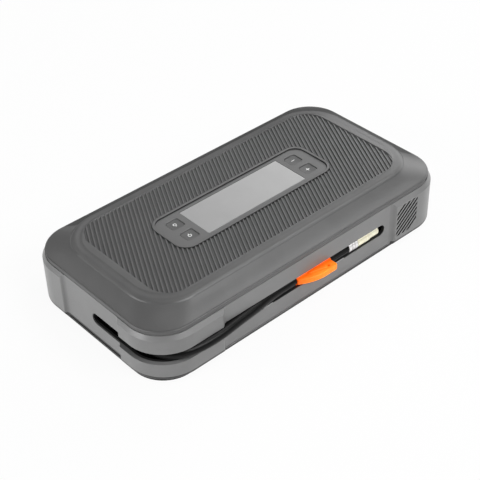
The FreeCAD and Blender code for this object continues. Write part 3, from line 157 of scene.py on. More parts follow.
def tone(level, warm=0.0):
    """The linear colour of a grey of 0 to 255, a little warmer in red and cooler in blue by a share."""
    linear = ((level / 255 + 0.055) / 1.055) ** 2.4 if level > 10 else level / 255 / 12.92
    return (linear * (1 + warm), linear, linear * (1 - warm))


def dress(material, *names):
    """Gives CAD pieces a material in every slot."""
    for name in names:
        for slot in nodes[name].material_slots:
            slot.material = material


def rubber(name, colour, roughness, grit, sheen=0.0, specular=0.45):
    """Moulded or extruded rubber: a dusty bloom over a dark body, and a fine leathery skin."""
    material, tree, shader = finish(name, roughness, specular=specular)
    here = place(tree)
    bloom = grain(tree, here, 0.011, 5.0, 0.4)
    skin = grain(tree, here, grit, 4.0)
    tree.links.new(shades(tree, bloom, [c * 0.82 for c in colour], [min(1.0, c * 1.2) for c in colour]),
                   shader.inputs["Base Color"])
    tree.links.new(spread(tree, skin, roughness - 0.05, roughness + 0.08), shader.inputs["Roughness"])
    shader.inputs["Sheen Weight"].default_value = sheen
    relief(tree, shader, (skin, grit * 0.16, 0.35), (bloom, 0.00008, 0.25))
    return material


hose_height = 17.6 * MM
hose_diameter = 7.4 * MM
hose_exit = (-111.3 * MM, -1.6 * MM, hose_height)
hose_line = -58.8 * MM
sleeve_start = -14.0 * MM
hose_route = (
    (-111.3, -13.5),
    (-113.0, -27.5),
    (-115.6, -42.0),
    (-112.8, -54.0),
    (-104.5, -61.2),
    (-92.5, -64.3),
    (-77.0, -64.6),
    (-61.0, -62.6),
    (-47.0, -61.5),
    (-35.5, -59.6),
    (-25.0, -58.8),
)
hose_points = [hose_exit]
hose_points += [(x * MM, y * MM, hose_height) for x, y in hose_route]
hose_points += [(sleeve_start, hose_line, hose_height)]
hose_curve = bpy.data.curves.new("air_hose_rubber", "CURVE")
hose_curve.dimensions = "3D"
hose_line_spline = hose_curve.splines.new("NURBS")
hose_line_spline.points.add(len(hose_points) - 1)
for point, where in zip(hose_line_spline.points, hose_points):
    point.co = (*where, 1.0)
hose_line_spline.order_u = 3
hose_line_spline.use_endpoint_u = True
hose_line_spline.resolution_u = 16
hose_curve.bevel_depth = hose_diameter / 2
hose_curve.bevel_resolution = 10
hose_curve.use_fill_caps = True
hose = bpy.data.objects.new("air_hose_rubber", hose_curve)
scene.collection.objects.link(hose)
hose_curve.materials.append(rubber("hose_rubber", tone(12), 0.30, 0.0004, specular=0.16))
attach(hose, "pack")
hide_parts("air_hose")


# Studio
# White paper floor and nine soft boxes round the pack, the strongest in front and at the left. The room between
# them stays dim, so that edges keep a dark line, and white is added only for what the camera and the gloss see.
def white_to_the_eye(tree, surface, share):
    """Mixes a white glow into a surface for what the camera and reflections see. Its soft shadow stays."""
    path = tree.nodes.new("ShaderNodeLightPath")
    seen = tree.nodes.new("ShaderNodeMath")
    seen.operation = "MAXIMUM"
    tree.links.new(path.outputs["Is Camera Ray"], seen.inputs[0])
    tree.links.new(path.outputs["Is Glossy Ray"], seen.inputs[1])
    part = tree.nodes.new("ShaderNodeMath")
    part.operation = "MULTIPLY"
    part.inputs[1].default_value = share
    tree.links.new(seen.outputs[0], part.inputs[0])
    glow = tree.nodes.new("ShaderNodeEmission")
    mix = tree.nodes.new("ShaderNodeMixShader")
    tree.links.new(part.outputs[0], mix.inputs[0])
    tree.links.new(surface, mix.inputs[1])
    tree.links.new(glow.outputs[0], mix.inputs[2])
    return mix.outputs[0]


floor_half = 6.0
paper_white = 0.80
paper_glow = 0.93
room_light = 0.07
floor_mesh = bpy.data.meshes.new("floor")
floor_corners = [(x * floor_half, y * floor_half, 0.0) for x, y in ((-1, -1), (1, -1), (1, 1), (-1, 1))]
floor_mesh.from_pydata(floor_corners, [], [(0, 1, 2, 3)])
floor = bpy.data.objects.new("floor", floor_mesh)
scene.collection.objects.link(floor)
paper = bpy.data.materials.new("white_paper")
paper.use_nodes = True
tree = paper.node_tree
tree.nodes.clear()
sheet = tree.nodes.new("ShaderNodeBsdfDiffuse")
sheet.inputs["Color"].default_value = (paper_white, paper_white, paper_white, 1.0)
paper_end = tree.nodes.new("ShaderNodeOutputMaterial")
tree.links.new(white_to_the_eye(tree, sheet.outputs[0], paper_glow), paper_end.inputs["Surface"])
floor_mesh.materials.append(paper)

world = bpy.data.worlds.new("studio")
scene.world = world
world.use_nodes = True
tree = world.node_tree
tree.nodes.clear()
room = tree.nodes.new("ShaderNodeBackground")
room.inputs["Color"].default_value = (1.0, 1.0, 1.0, 1.0)
room.inputs["Strength"].default_value = room_light
seen_room = tree.nodes.new("ShaderNodeBackground")
seen_room.inputs["Color"].default_value = (1.0, 1.0, 1.0, 1.0)
path = tree.nodes.new("ShaderNodeLightPath")
mix = tree.nodes.new("ShaderNodeMixShader")
room_end = tree.nodes.new("ShaderNodeOutputWorld")
tree.links.new(path.outputs["Is Camera Ray"], mix.inputs[0])
tree.links.new(room.outputs[0], mix.inputs[1])
tree.links.new(seen_room.outputs[0], mix.inputs[2])
tree.links.new(mix.outputs[0], room_end.inputs["Surface"])


def softbox(name, where, width, height, power):
    """A rectangular soft light that points at the pack, with its power in watts."""
    data = bpy.data.lights.new(name, "AREA")
    data.shape = "RECTANGLE"
    data.size = width
    data.size_y = height
    data.energy = power
    lamp = bpy.data.objects.new(name, data)
    scene.collection.objects.link(lamp)
    lamp.location = where
    lamp.rotation_euler = (pack_middle - Vector(where)).to_track_quat("-Z", "Y").to_euler()


pack_middle = Vector((0.0, 0.0, 0.02))
softbox("left_box", (-1.5, 0.35, 0.55), 1.1, 0.9, 15.0)
softbox("low_left_box", (-1.6, -0.3, 0.2), 1.2, 0.35, 2.7)
softbox("front_box", (0.3, -1.2, 1.1), 1.1, 0.7, 18.2)
softbox("right_box", (1.6, 0.1, 0.5), 0.9, 0.9, 6.5)
softbox("over_right_box", (0.9, -0.25, 1.5), 0.7, 0.7, 7.0)
softbox("back_right_box", (1.0, 1.1, 1.2), 1.3, 0.7, 5.2)
softbox("far_right_box", (1.7, 0.9, 0.8), 0.8, 0.8, 5.2)
softbox("back_left_box", (-0.5, 1.2, 1.2), 0.9, 0.6, 1.8)
softbox("top_box", (0.0, 0.0, 1.6), 0.5, 0.5, 1.3)


# Lower housing
# The tub of the case is injection moulded in grey ABS, with a spark-eroded skin and four thicker corner bumpers. Its
# inside is darkened all over as painted shade, and a band at its foot above the black mat is darkened as painted
# shade too. Two short lips on the groove's lower edge are lightened as a painted highlight.
def moulded(name, colour, roughness, spark=0.00038, bite=0.35, specular=0.5):
    """Injection-moulded plastic: faint flow clouds in the colour, spark-eroded pits in the skin and the gloss."""
    material, tree, shader = finish(name, roughness, specular=specular)
    here = place(tree)
    flow = grain(tree, here, 0.030, 4.0, 0.8)
    pits = grain(tree, here, spark, 3.0)
    pock = cells(tree, here, spark * 1.6)
    tree.links.new(shades(tree, flow, [c * 0.94 for c in colour], [min(1.0, c * 1.06) for c in colour]),
                   shader.inputs["Base Color"])
    tree.links.new(spread(tree, pits, roughness - 0.04, roughness + 0.06), shader.inputs["Roughness"])
    relief(tree, shader, (pits, spark * 0.11, bite), (pock, spark * 0.05, bite * 0.6))
    return material


def tint_where(material, mask, share):
    """Multiplies a material's base colour by a share where a mask is one."""
    tree = material.node_tree
    shader = tree.nodes["Principled BSDF"]
    colour = shader.inputs["Base Color"].links[0].from_socket
    tint = tree.nodes.new("ShaderNodeMixRGB")
    tint.blend_type = "MULTIPLY"
    tint.inputs["Color2"].default_value = (share, share, share, 1.0)
    tree.links.new(mask, tint.inputs["Fac"])
    tree.links.new(colour, tint.inputs["Color1"])
    tree.links.new(tint.outputs["Color"], shader.inputs["Base Color"])


def axes(tree):
    """The piece's own coordinates, one by one."""
    split = tree.nodes.new("ShaderNodeSeparateXYZ")
    tree.links.new(place(tree), split.inputs["Vector"])
    return split.outputs


def reckon(tree, operation, one, other=0.0):
    """One step of arithmetic on two amounts, each of which may be a plain number."""
    step = tree.nodes.new("ShaderNodeMath")
    step.operation = operation
    for value, socket in ((one, step.inputs[0]), (other, step.inputs[1])):
        if isinstance(value, (int, float)):
            socket.default_value = value
        else:
            tree.links.new(value, socket)
    return step.outputs[0]


def both(tree, one, other):
    """One where two masks are one."""
    return reckon(tree, "MULTIPLY", one, other)


def below(tree, amount, level):
    """One where an amount lies under a level, which may be a number or another amount."""
    return spread(tree, reckon(tree, "SUBTRACT", amount, level), 1.0, 0.0, -mask_blur, mask_blur)


def between(tree, amount, low, high):
    """One where an amount lies from a low to a high level."""
    return both(tree, below(tree, amount, high), reckon(tree, "SUBTRACT", 1.0, below(tree, amount, low)))


def near(tree, amount, middle, reach):
    """One where an amount lies within reach of a middle value."""
    return below(tree, reckon(tree, "ABSOLUTE", reckon(tree, "SUBTRACT", amount, middle)), reach)


def within(tree, where, half_x, half_y, corner):
    """One inside a rounded rectangle round the middle, seen from above."""
    corner_place = tree.nodes.new("ShaderNodeCombineXYZ")
    for axis, half in (("X", half_x), ("Y", half_y)):
        size = reckon(tree, "ABSOLUTE", where[axis])
        over = reckon(tree, "MAXIMUM", reckon(tree, "SUBTRACT", size, half - corner), 0.0)
        tree.links.new(over, corner_place.inputs[axis])
    length = tree.nodes.new("ShaderNodeVectorMath")
    length.operation = "LENGTH"
    tree.links.new(corner_place.outputs["Vector"], length.inputs[0])
    return spread(tree, length.outputs["Value"], 1.0, 0.0, corner - mask_blur, corner + mask_blur)


mask_blur = 0.1 * MM
wall_outline = (122.9 * MM, 62.9 * MM, 24.4 * MM)
inside_outline = (122.1 * MM, 62.1 * MM, 23.6 * MM)
# Painted shade at the foot: a band of the case's colour is darkened, higher under the bumpers than along the walls.
bumper_foot_shade_height = 3.7 * MM
wall_foot_shade_height = 1.1 * MM
foot_shade_share = 0.14
inside_shade_share = 0.12
case_grey = moulded("case_grey", tone(123), 0.33)
tree = case_grey.node_tree
where = axes(tree)
on_wall = within(tree, where, *wall_outline)
foot_shade_height = spread(tree, on_wall, bumper_foot_shade_height, wall_foot_shade_height, 0.0, 1.0)
tint_where(case_grey, below(tree, where["Z"], foot_shade_height), foot_shade_share)
# Painted shade inside the case: everything within the inner outline of the walls is darkened.
tint_where(case_grey, within(tree, where, *inside_outline), inside_shade_share)

# The vent's slots go through the front right bumper. Their sides are darkened as painted shade, and their gloss is
# lowered.
vent_middle_x = 87.8 * MM
vent_middle_z = 18.5 * MM
vent_half_length = 10.6 * MM
vent_half_height = 12.6 * MM
vent_face = -64.8 * MM
vent_shade_share = 0.03
vent_span = both(tree, near(tree, where["X"], vent_middle_x, vent_half_length),
                 near(tree, where["Z"], vent_middle_z, vent_half_height))
vent_inside = both(tree, vent_span, between(tree, where["Y"], vent_face, 0.0))
tint_where(case_grey, vent_inside, vent_shade_share)
shader = tree.nodes["Principled BSDF"]
tree.links.new(spread(tree, vent_inside, 0.5, 0.0, 0.0, 1.0), shader.inputs["Specular IOR Level"])

# The two lips that keep the hose in its groove lie on the groove's lower edge. Their edges are lightened as a painted
# highlight.
lip_middles = (-37.1 * MM, 25.0 * MM)
lip_half_length = 3.9 * MM
lip_low = 13.7 * MM
lip_high = 14.3 * MM
lip_back = -61.5 * MM
lip_highlight_share = 1.9
lip_band = both(tree, between(tree, where["Z"], lip_low, lip_high), below(tree, where["Y"], lip_back))
for lip_middle in lip_middles:
    tint_where(case_grey, both(tree, near(tree, where["X"], lip_middle, lip_half_length), lip_band), lip_highlight_share)
dress(case_grey, "lower_housing")


# Base pad and feet
# A thin black rubber mat is glued into the foot of the case, and four round rubber feet sit in its holes. Both
# are pressed and keep a fine leathery skin.
dress(rubber("base_rubber", tone(44), 0.62, 0.0006), "base_pad")
dress(rubber("foot_rubber", tone(34), 0.66, 0.0005), "rubber_feet")


# Case screws
# Zinc-plated self-tapping screws hold the two shells together from below, and smaller ones hold the control
# board. The plating is bright, with fine turning marks round each head.
def turned_metal(name, colour, roughness, axis=2, bite=0.35, metallic=1.0):
    """Turned and plated metal: fine rings across its axis, cloudy plating and a slightly uneven gloss."""
    material, tree, shader = finish(name, roughness, metallic=metallic)
    lines = 0.00025
    stretch = [0.06, 0.06, 0.06]
    stretch[axis] = 1.0
    rings = grain(tree, place(tree, tuple(stretch)), lines, 2.0)
    clouds = grain(tree, place(tree), 0.004, 4.0, 0.3)
    tree.links.new(shades(tree, clouds, [c * 0.86 for c in colour], [min(1.0, c * 1.08) for c in colour]),
                   shader.inputs["Base Color"])
    tree.links.new(spread(tree, rings, roughness - 0.06, roughness + 0.10), shader.inputs["Roughness"])
    relief(tree, shader, (rings, lines * 0.12, bite))
    return material


dress(turned_metal("zinc_plate", (0.60, 0.61, 0.62), 0.30), "case_screws", "board_screws")


# Groove liner and nipple
# A matt black moulded channel is pressed into the groove from inside the case. The turned brass nipple comes
# through its left end and carries the hose.
dress(moulded("liner_black", tone(4), 0.62, 0.0005, 0.5, 0.03), "hose_channel")
dress(turned_metal("turned_brass", (0.83, 0.62, 0.30), 0.26, axis=1), "hose_nipple")

# Sleeve
# A stiff black rubber sleeve, moulded and pushed over the end of the hose, keeps it from kinking at the crimp.
dress(rubber("sleeve_rubber", tone(12), 0.32, 0.0003, specular=0.16), "hose_sleeve")

# Ferrule
# A steel ferrule, plated with nickel and polished almost white, is crimped over sleeve and hose. Its rings are
# rolled in as it is crimped.
dress(turned_metal("nickel_plate", (0.95, 0.92, 0.92), 0.34, axis=0, bite=0.05, metallic=0.5), "crimp_ferrule")

# Valve chuck
# A brass chuck, turned and lightly plated to pale gold, with a knurled collar and a smooth nose. It turns on
# the end of the hose as it is screwed on a valve.
dress(turned_metal("pale_brass", (1.0, 0.92, 0.72), 0.36, axis=0, bite=0.04, metallic=0.45), "air_chuck")

# Pull tab
# Orange silicone moulded round the sleeve, soft and slightly translucent. Its tongue reaches out of the groove,
# with a raised pad for the thumb and a small hole. Its fluorescent orange is darker and redder towards the root, and
# a faint emission is painted light that brightens it.
tab_root = -62.5 * MM
tab_tip = -68.0 * MM
tab_silicone, tree, shader = finish("tab_silicone", 0.36, specular=0.22)
here = place(tree)
dust = grain(tree, here, 0.006, 4.0, 0.5)
skin = grain(tree, here, 0.00045, 3.0)
depth = spread(tree, axes(tree)["Y"], 1.0, 0.0, tab_tip, tab_root)
pigment = tree.nodes.new("ShaderNodeMixRGB")
tree.links.new(depth, pigment.inputs["Fac"])
tree.links.new(shades(tree, dust, (1.0, 0.125, 0.004), (1.0, 0.175, 0.008)), pigment.inputs["Color1"])
tree.links.new(shades(tree, dust, (1.0, 0.290, 0.020), (1.0, 0.360, 0.032)), pigment.inputs["Color2"])
tree.links.new(pigment.outputs["Color"], shader.inputs["Base Color"])
tree.links.new(spread(tree, skin, 0.32, 0.44), shader.inputs["Roughness"])
shader.inputs["Subsurface Weight"].default_value = 0.22
shader.inputs["Subsurface Radius"].default_value = (1.0, 0.35, 0.08)
shader.inputs["Subsurface Scale"].default_value = 1.6 * MM
# Painted light: a faint orange-red emission brightens the tab.
shader.inputs["Emission Color"].default_value = (1.0, 0.10, 0.0, 1.0)
shader.inputs["Emission Strength"].default_value = 0.30
relief(tree, shader, (skin, 0.00004, 0.3))
dress(tab_silicone, "pull_tab")

# Battery cells
# Four lithium pouches in aluminium laminate lie in two stacks. The foil is embossed by its tray and crinkles
# where it is folded over at the sides.
pouch, tree, shader = finish("pouch_foil", 0.30, metallic=1.0)
here = place(tree)
crease = grain(tree, place(tree, (1.0, 0.35, 1.0)), 0.009, 5.0, 1.2)
emboss = cells(tree, here, 0.0011)
tree.links.new(shades(tree, crease, (0.52, 0.53, 0.55), (0.70, 0.71, 0.73)), shader.inputs["Base Color"])
tree.links.new(spread(tree, emboss, 0.26, 0.42, 0.0, 0.7), shader.inputs["Roughness"])
relief(tree, shader, (crease, 0.0005, 0.5), (emboss, 0.00005, 0.3))
dress(pouch, "battery_cell_1", "battery_cell_2", "battery_cell_3", "battery_cell_4")

# Battery pads
# Black foam pads under and over the stacks keep the cells from shaking. The foam is cut from a sheet, so its
# pores are open and a little torn.
foam, tree, shader = finish("cell_foam", 0.92, specular=0.15)
here = place(tree)
pores = cells(tree, here, 0.0009)
tear = grain(tree, here, 0.005, 5.0)
tree.links.new(shades(tree, pores, (0.010, 0.010, 0.011), (0.055, 0.055, 0.057), 0.1, 0.6),
               shader.inputs["Base Color"])
relief(tree, shader, (pores, 0.0004, 0.9), (tear, 0.0003, 0.4))
dress(foam, "battery_pads")


# Circuit boards
# Green glass-fibre boards: the cell board at the end of the stacks, the power board, the port board and the
# control board under the panel. Etched copper tracks show through the solder mask, with tinned pads.
def circuit_board(name, plane_turn):
    """A board's solder mask with tracks and pads laid out in its own plane."""
    material, tree, shader = finish(name, 0.34)
    here = place(tree, turn=plane_turn)
    tracks = tree.nodes.new("ShaderNodeTexBrick")
    tracks.inputs["Scale"].default_value = 1.0
    tracks.inputs["Brick Width"].default_value = 13.0 * MM
    tracks.inputs["Row Height"].default_value = 2.1 * MM
    tracks.inputs["Mortar Size"].default_value = 0.45 * MM
    tracks.inputs["Mortar Smooth"].default_value = 0.2
    tree.links.new(here, tracks.inputs["Vector"])
    pads = cells(tree, here, 0.0042)
    weave = grain(tree, here, 0.0006, 2.0)
    mask = shades(tree, tracks.outputs["Fac"], (0.012, 0.105, 0.045), (0.030, 0.190, 0.075), 0.2, 0.8)
    tin = tree.nodes.new("ShaderNodeMixRGB")
    tin.inputs["Color2"].default_value = (0.62, 0.62, 0.60, 1.0)
    tree.links.new(spread(tree, pads, 1.0, 0.0, 0.14, 0.17), tin.inputs["Fac"])
    tree.links.new(mask, tin.inputs["Color1"])
    tree.links.new(tin.outputs["Color"], shader.inputs["Base Color"])
    tree.links.new(spread(tree, weave, 0.28, 0.42), shader.inputs["Roughness"])
    relief(tree, shader, (tracks.outputs["Fac"], 0.00005, 0.5), (weave, 0.00002, 0.3))
    return material


quarter = math.pi / 2
dress(circuit_board("flat_board", (0.0, 0.0, 0.0)), "control_board", "power_board", "port_board")
dress(circuit_board("upright_board", (0.0, quarter, 0.0)), "cell_board")


# Nickel tabs and terminals
# Nickel strip is spot welded to the cells' ends and to the board, and tinned terminals end the two leads.
def sheet_metal(name, colour, roughness, stretch):
    """Rolled or drawn metal: fine lines along the rolling direction, and dull spots where it was handled."""
    material, tree, shader = finish(name, roughness, metallic=1.0)
    lines = grain(tree, place(tree, stretch), 0.00022, 2.0)
    spots = grain(tree, place(tree), 0.005, 4.0, 0.2)
    tree.links.new(shades(tree, spots, [c * 0.84 for c in colour], [min(1.0, c * 1.06) for c in colour]),
                   shader.inputs["Base Color"])
    tree.links.new(spread(tree, lines, roughness - 0.05, roughness + 0.12), shader.inputs["Roughness"])
    relief(tree, shader, (lines, 0.00002, 0.35))
    return material


dress(sheet_metal("nickel_strip", (0.70, 0.69, 0.66), 0.30, (1.0, 0.05, 1.0)), "cell_tabs", "lead_terminals")

# Battery leads
# Two thick silicone leads, red and black, run from the cells to the jump socket. The extruded insulation is
# soft, with a faint powder on it.
dress(rubber("lead_red", (0.50, 0.022, 0.020), 0.48, 0.0004), "lead_positive")
dress(rubber("lead_black", tone(33), 0.48, 0.0004), "lead_negative")

# Compressor motor
# A small brushed motor in a drawn and zinc-plated steel can drives the air compressor. Its shaft is ground.
dress(sheet_metal("motor_can", (0.60, 0.60, 0.61), 0.32, (1.0, 0.04, 1.0)), "compressor_motor")
dress(turned_metal("ground_steel", (0.66, 0.66, 0.67), 0.18, axis=1), "motor_shaft")

# Fan and gears
# The moulded black nylon fan and the acetal pinion turn on the motor's shaft. The pinion drives a wide gear of
# natural white acetal.
dress(moulded("fan_nylon", tone(52), 0.46, 0.0003), "cooling_fan")
dress(moulded("pinion_acetal", tone(214, 0.02), 0.38, 0.0003, 0.2), "drive_pinion")
dress(moulded("gear_acetal", tone(228, 0.02), 0.38, 0.0003, 0.2), "crank_gear")


# Crankcase and cylinder head
# Pressure die-cast aluminium, left as cast: pale grey with flow marks and a sandy skin.
def die_cast(name, colour, roughness):
    """Die-cast metal: flow marks in the colour, a sandy skin and small bright scuffs in the gloss."""
    material, tree, shader = finish(name, roughness, metallic=0.9)
    here = place(tree)
    flow = grain(tree, here, 0.008, 5.0, 1.5)
    sand = grain(tree, here, 0.00035, 3.0)
    tree.links.new(shades(tree, flow, [c * 0.8 for c in colour], [min(1.0, c * 1.06) for c in colour]),
                   shader.inputs["Base Color"])
    tree.links.new(spread(tree, sand, roughness - 0.08, roughness + 0.12), shader.inputs["Roughness"])
    relief(tree, shader, (sand, 0.00006, 0.6), (flow, 0.00012, 0.3))
    return material


dress(die_cast("cast_aluminium", (0.64, 0.65, 0.66), 0.46), "crankcase", "cylinder_head")

# Piston and ring
# The piston and its rod are one die casting, and a dark filled ring seals it in the cylinder.
dress(die_cast("piston_alloy", (0.70, 0.71, 0.72), 0.36), "piston")
dress(moulded("ring_polymer", (0.055, 0.042, 0.036), 0.42, 0.0003), "piston_ring")

# Air tube
# An extruded tube of milky silicone carries the air from the cylinder head to the nipple.
tube_silicone, tree, shader = finish("tube_silicone", 0.36, specular=0.4)
here = place(tree)
milk = grain(tree, here, 0.009, 4.0)
fine = grain(tree, here, 0.0005, 3.0)
tree.links.new(shades(tree, milk, (0.60, 0.60, 0.57), (0.74, 0.74, 0.71)), shader.inputs["Base Color"])
tree.links.new(spread(tree, fine, 0.30, 0.46), shader.inputs["Roughness"])
shader.inputs["Subsurface Weight"].default_value = 0.3
shader.inputs["Subsurface Scale"].default_value = 1.0 * MM
relief(tree, shader, (fine, 0.00003, 0.3))
dress(tube_silicone, "air_tube")

# Power board parts
# The jump current passes a black relay on the power board, which stands on four turned brass posts.
dress(moulded("relay_black", tone(40), 0.34, 0.0003, 0.25), "power_relay")
dress(turned_metal("post_brass", (0.80, 0.60, 0.28), 0.30, axis=2), "power_board_stands")

# Jump socket
# The socket for the clamp lead is moulded in blue nylon and is open to the right end behind its cover.
dress(moulded("socket_nylon", (0.018, 0.070, 0.400), 0.40, 0.0004), "jump_socket")

# Charging ports
# Two USB-A shells and a USB-C shell, stamped from tinned steel, stand on the port board behind the back cover.
dress(sheet_metal("port_steel", (0.66, 0.66, 0.67), 0.28, (0.05, 1.0, 1.0)), "usb_a_ports", "usb_c_port")

# Torch
# A small lamp in the right end. It has a moulded cup with a mirror coating, a yellow chip, and a clear domed
# window pressed into the wall in front.
cup, tree, shader = finish("mirror_cup", 0.07, metallic=1.0)
here = place(tree)
ripple = cells(tree, here, 0.0013)
haze = grain(tree, here, 0.003, 3.0)
tree.links.new(shades(tree, haze, (0.80, 0.80, 0.81), (0.92, 0.92, 0.93)), shader.inputs["Base Color"])
tree.links.new(spread(tree, haze, 0.05, 0.16), shader.inputs["Roughness"])
relief(tree, shader, (ripple, 0.0002, 0.35))
dress(cup, "torch_reflector")
chip, tree, shader = finish("lamp_chip", 0.35)
here = place(tree)
phosphor = cells(tree, here, 0.0012)
tree.links.new(shades(tree, phosphor, (0.72, 0.46, 0.06), (0.86, 0.80, 0.55), 0.1, 0.6),
               shader.inputs["Base Color"])
tree.links.new(spread(tree, phosphor, 0.25, 0.5, 0.0, 0.6), shader.inputs["Roughness"])
relief(tree, shader, (phosphor, 0.0001, 0.4))
dress(chip, "torch_lamp")
window, tree, shader = finish("lamp_window", 0.05)
here = place(tree)
haze = grain(tree, here, 0.004, 3.0)
scuff = grain(tree, here, 0.0007, 2.0)
tree.links.new(shades(tree, haze, (0.90, 0.91, 0.92), (0.97, 0.98, 0.99)), shader.inputs["Base Color"])
tree.links.new(spread(tree, scuff, 0.03, 0.09), shader.inputs["Roughness"])
shader.inputs["Transmission Weight"].default_value = 0.85
shader.inputs["IOR"].default_value = 1.49
relief(tree, shader, (scuff, 0.00001, 0.2))
dress(window, "torch_lens")

# Socket covers
# Two pressed doors of dark rubber close the jump socket and the charging ports. Each turns on a steel pin in its
# top edge.
dress(rubber("door_rubber", tone(72), 0.52, 0.0005), "jump_cover", "port_cover")
dress(turned_metal("pin_steel", (0.66, 0.66, 0.67), 0.22, axis=1), "jump_cover_pin")
dress(turned_metal("long_pin_steel", (0.66, 0.66, 0.67), 0.22, axis=0), "port_cover_pin")


# Vent screen
# A piece of black nylon gauze is welded behind the vent's slots to keep dust from the compressor. It is woven
# from single threads.
def mesh_piece(name, bm, material, body):
    """A finished mesh as a piece that rides on a body and takes its finish from a slot."""
    bmesh.ops.recalc_face_normals(bm, faces=bm.faces)
    mesh = bpy.data.meshes.new(name)
    bm.to_mesh(mesh)
    bm.free()
    mesh.materials.append(material)
    piece = bpy.data.objects.new(name, mesh)
    scene.collection.objects.link(piece)
    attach(piece, body)
    return piece


def skin_over(bm, rings):
    """Faces along a row of four-cornered rings, and one at each end."""
    for ring, following in zip(rings, rings[1:]):
        for k in range(4):
            bm.faces.new((ring[k], ring[(k + 1) % 4], following[(k + 1) % 4], following[k]))
    bm.faces.new(rings[0])
    bm.faces.new(reversed(rings[-1]))


def add_thread(bm, start, end, radius, wave, pitch, phase):
    """One woven thread: a thin four-sided bar that weaves in and out across its length."""
    start = Vector(start)
    along = Vector(end) - start
    count = max(2, round(along.length / pitch) * 2)
    side = along.cross(Vector((0.0, 1.0, 0.0))).normalized()
    outward = Vector((0.0, radius, 0.0))
    rings = []
    for index in range(count + 1):
        weave = wave * math.cos(math.pi * index + phase)
        middle = start + along * (index / count) + Vector((0.0, weave, 0.0))
        rings.append([bm.verts.new(middle + corner) for corner in (side * radius, outward, -side * radius, -outward)])
    skin_over(bm, rings)


screen_left = 74.6 * MM
screen_right = 97.0 * MM
screen_low = 5.2 * MM
screen_high = 31.6 * MM
screen_front = -60.9 * MM
thread_radius = 0.13 * MM
thread_pitch = 0.8 * MM
bm = bmesh.new()
for column in range(int((screen_right - screen_left) / thread_pitch) + 1):
    x = screen_left + column * thread_pitch
    add_thread(bm, (x, screen_front, screen_low), (x, screen_front, screen_high),
               thread_radius, thread_radius, thread_pitch * 2, math.pi * column)
for row in range(int((screen_high - screen_low) / thread_pitch) + 1):
    z = screen_low + row * thread_pitch
    add_thread(bm, (screen_left, screen_front, z), (screen_right, screen_front, z),
               thread_radius, thread_radius, thread_pitch * 2, math.pi * (row + 1))
mesh_piece("vent_screen", bm, moulded("nylon_gauze", tone(8), 0.6, 0.0003, 0.2, 0.06), "pack")

# Control board parts
# Four moulded black switches are soldered under the keys. The display is a pale liquid crystal glass.
dress(moulded("switch_black", tone(48), 0.42, 0.0003, 0.2), "key_switches")
dress(moulded("display_glass", tone(176), 0.22, 0.0003, 0.1), "display_module")

# Top cover
# The upper shell is moulded in darker grey ABS with the same spark-eroded skin. The grooves between its ribs and the
# step round the panel are darkened as painted shade, and the field's back edge is lightened as a painted highlight.
cover_grey = moulded("cover_grey", tone(86), 0.35)
tree = cover_grey.node_tree
shader = tree.nodes["Principled BSDF"]
slant = tree.nodes.new("ShaderNodeLayerWeight").outputs["Facing"]
tree.links.new(spread(tree, slant, 0.5, 0.0, 0.5, 0.75), shader.inputs["Specular IOR Level"])
where = axes(tree)
field_outline = (101.4 * MM, 45.4 * MM, 16.4 * MM)
rib_top = 45.5 * MM
rib_floor = 44.85 * MM
# Painted shade in the grooves between the ribs.
groove_shade_share = 0.50
field = within(tree, where, *field_outline)
grooves = both(tree, field, spread(tree, where["Z"], 1.0, 0.0, rib_floor, rib_top))
tint_where(cover_grey, grooves, groove_shade_share)
# Painted highlight along the back edge of the ribbed field.
rim_low = 45.71 * MM
rim_high = 45.87 * MM
rim_highlight_share = 1.8
back_rim_highlight = both(tree, between(tree, where["Z"], rim_low, rim_high), below(tree, 0.0, where["Y"]))
tint_where(cover_grey, both(tree, back_rim_highlight, field), rim_highlight_share)
# Painted shade on the step round the panel's opening.
kerb_outline = (65.5 * MM, 19.4 * MM, 10.3 * MM)
kerb_top = 45.8 * MM
kerb_shade_share = 0.45
kerb = both(tree, within(tree, where, *kerb_outline), below(tree, where["Z"], kerb_top))
tint_where(cover_grey, kerb, kerb_shade_share)
dress(cover_grey, "top_cover")

# Display panel
# A smooth satin plate, moulded and clipped into the cover's opening, carries the display's window and the four keys.
dress(moulded("panel_grey", tone(87), 0.32, 0.0003, 0.15), "display_panel")

# Display window
# A hard-coated acrylic window is bonded in the panel's pocket. The pale display fills it from edge to edge, with fine
# cell lines behind the gloss. Its colour grows lighter towards the right end as painted light.
window_half = 42.0 * MM
window_tint, tree, shader = finish("window_tint", 0.18)
here = place(tree)
haze = grain(tree, here, 0.020, 3.0)
lines = tree.nodes.new("ShaderNodeTexWave")
lines.wave_type = "BANDS"
lines.bands_direction = "Y"
lines.inputs["Scale"].default_value = 620.0
tree.links.new(here, lines.inputs["Vector"])
# Painted light: the display's colour grows lighter from its left end to its right end.
painted_light_gradient = tree.nodes.new("ShaderNodeMixRGB")
tree.links.new(spread(tree, axes(tree)["X"], 0.0, 1.0, -window_half, window_half), painted_light_gradient.inputs["Fac"])
tree.links.new(shades(tree, haze, tone(136), tone(140)), painted_light_gradient.inputs["Color1"])
tree.links.new(shades(tree, haze, tone(156), tone(161)), painted_light_gradient.inputs["Color2"])
tree.links.new(painted_light_gradient.outputs["Color"], shader.inputs["Base Color"])
tree.links.new(spread(tree, lines.outputs["Fac"], 0.16, 0.20, 0.0, 1.0), shader.inputs["Roughness"])
slant = tree.nodes.new("ShaderNodeLayerWeight").outputs["Facing"]
tree.links.new(spread(tree, slant, 0.5, 0.12, 0.45, 0.65), shader.inputs["Specular IOR Level"])
shader.inputs["Coat Weight"].default_value = 0.12
shader.inputs["Coat Roughness"].default_value = 0.04
relief(tree, shader, (lines.outputs["Fac"], 0.000004, 0.1))
dress(window_tint, "display_lens")

# Keys
# Four dished silicone keys, moulded in a dark grey like the panel's, with a soft-touch skin.
dress(rubber("key_silicone", tone(84), 0.48, 0.0003, 0.05),
      "button_light", "button_power", "button_minus", "button_plus")


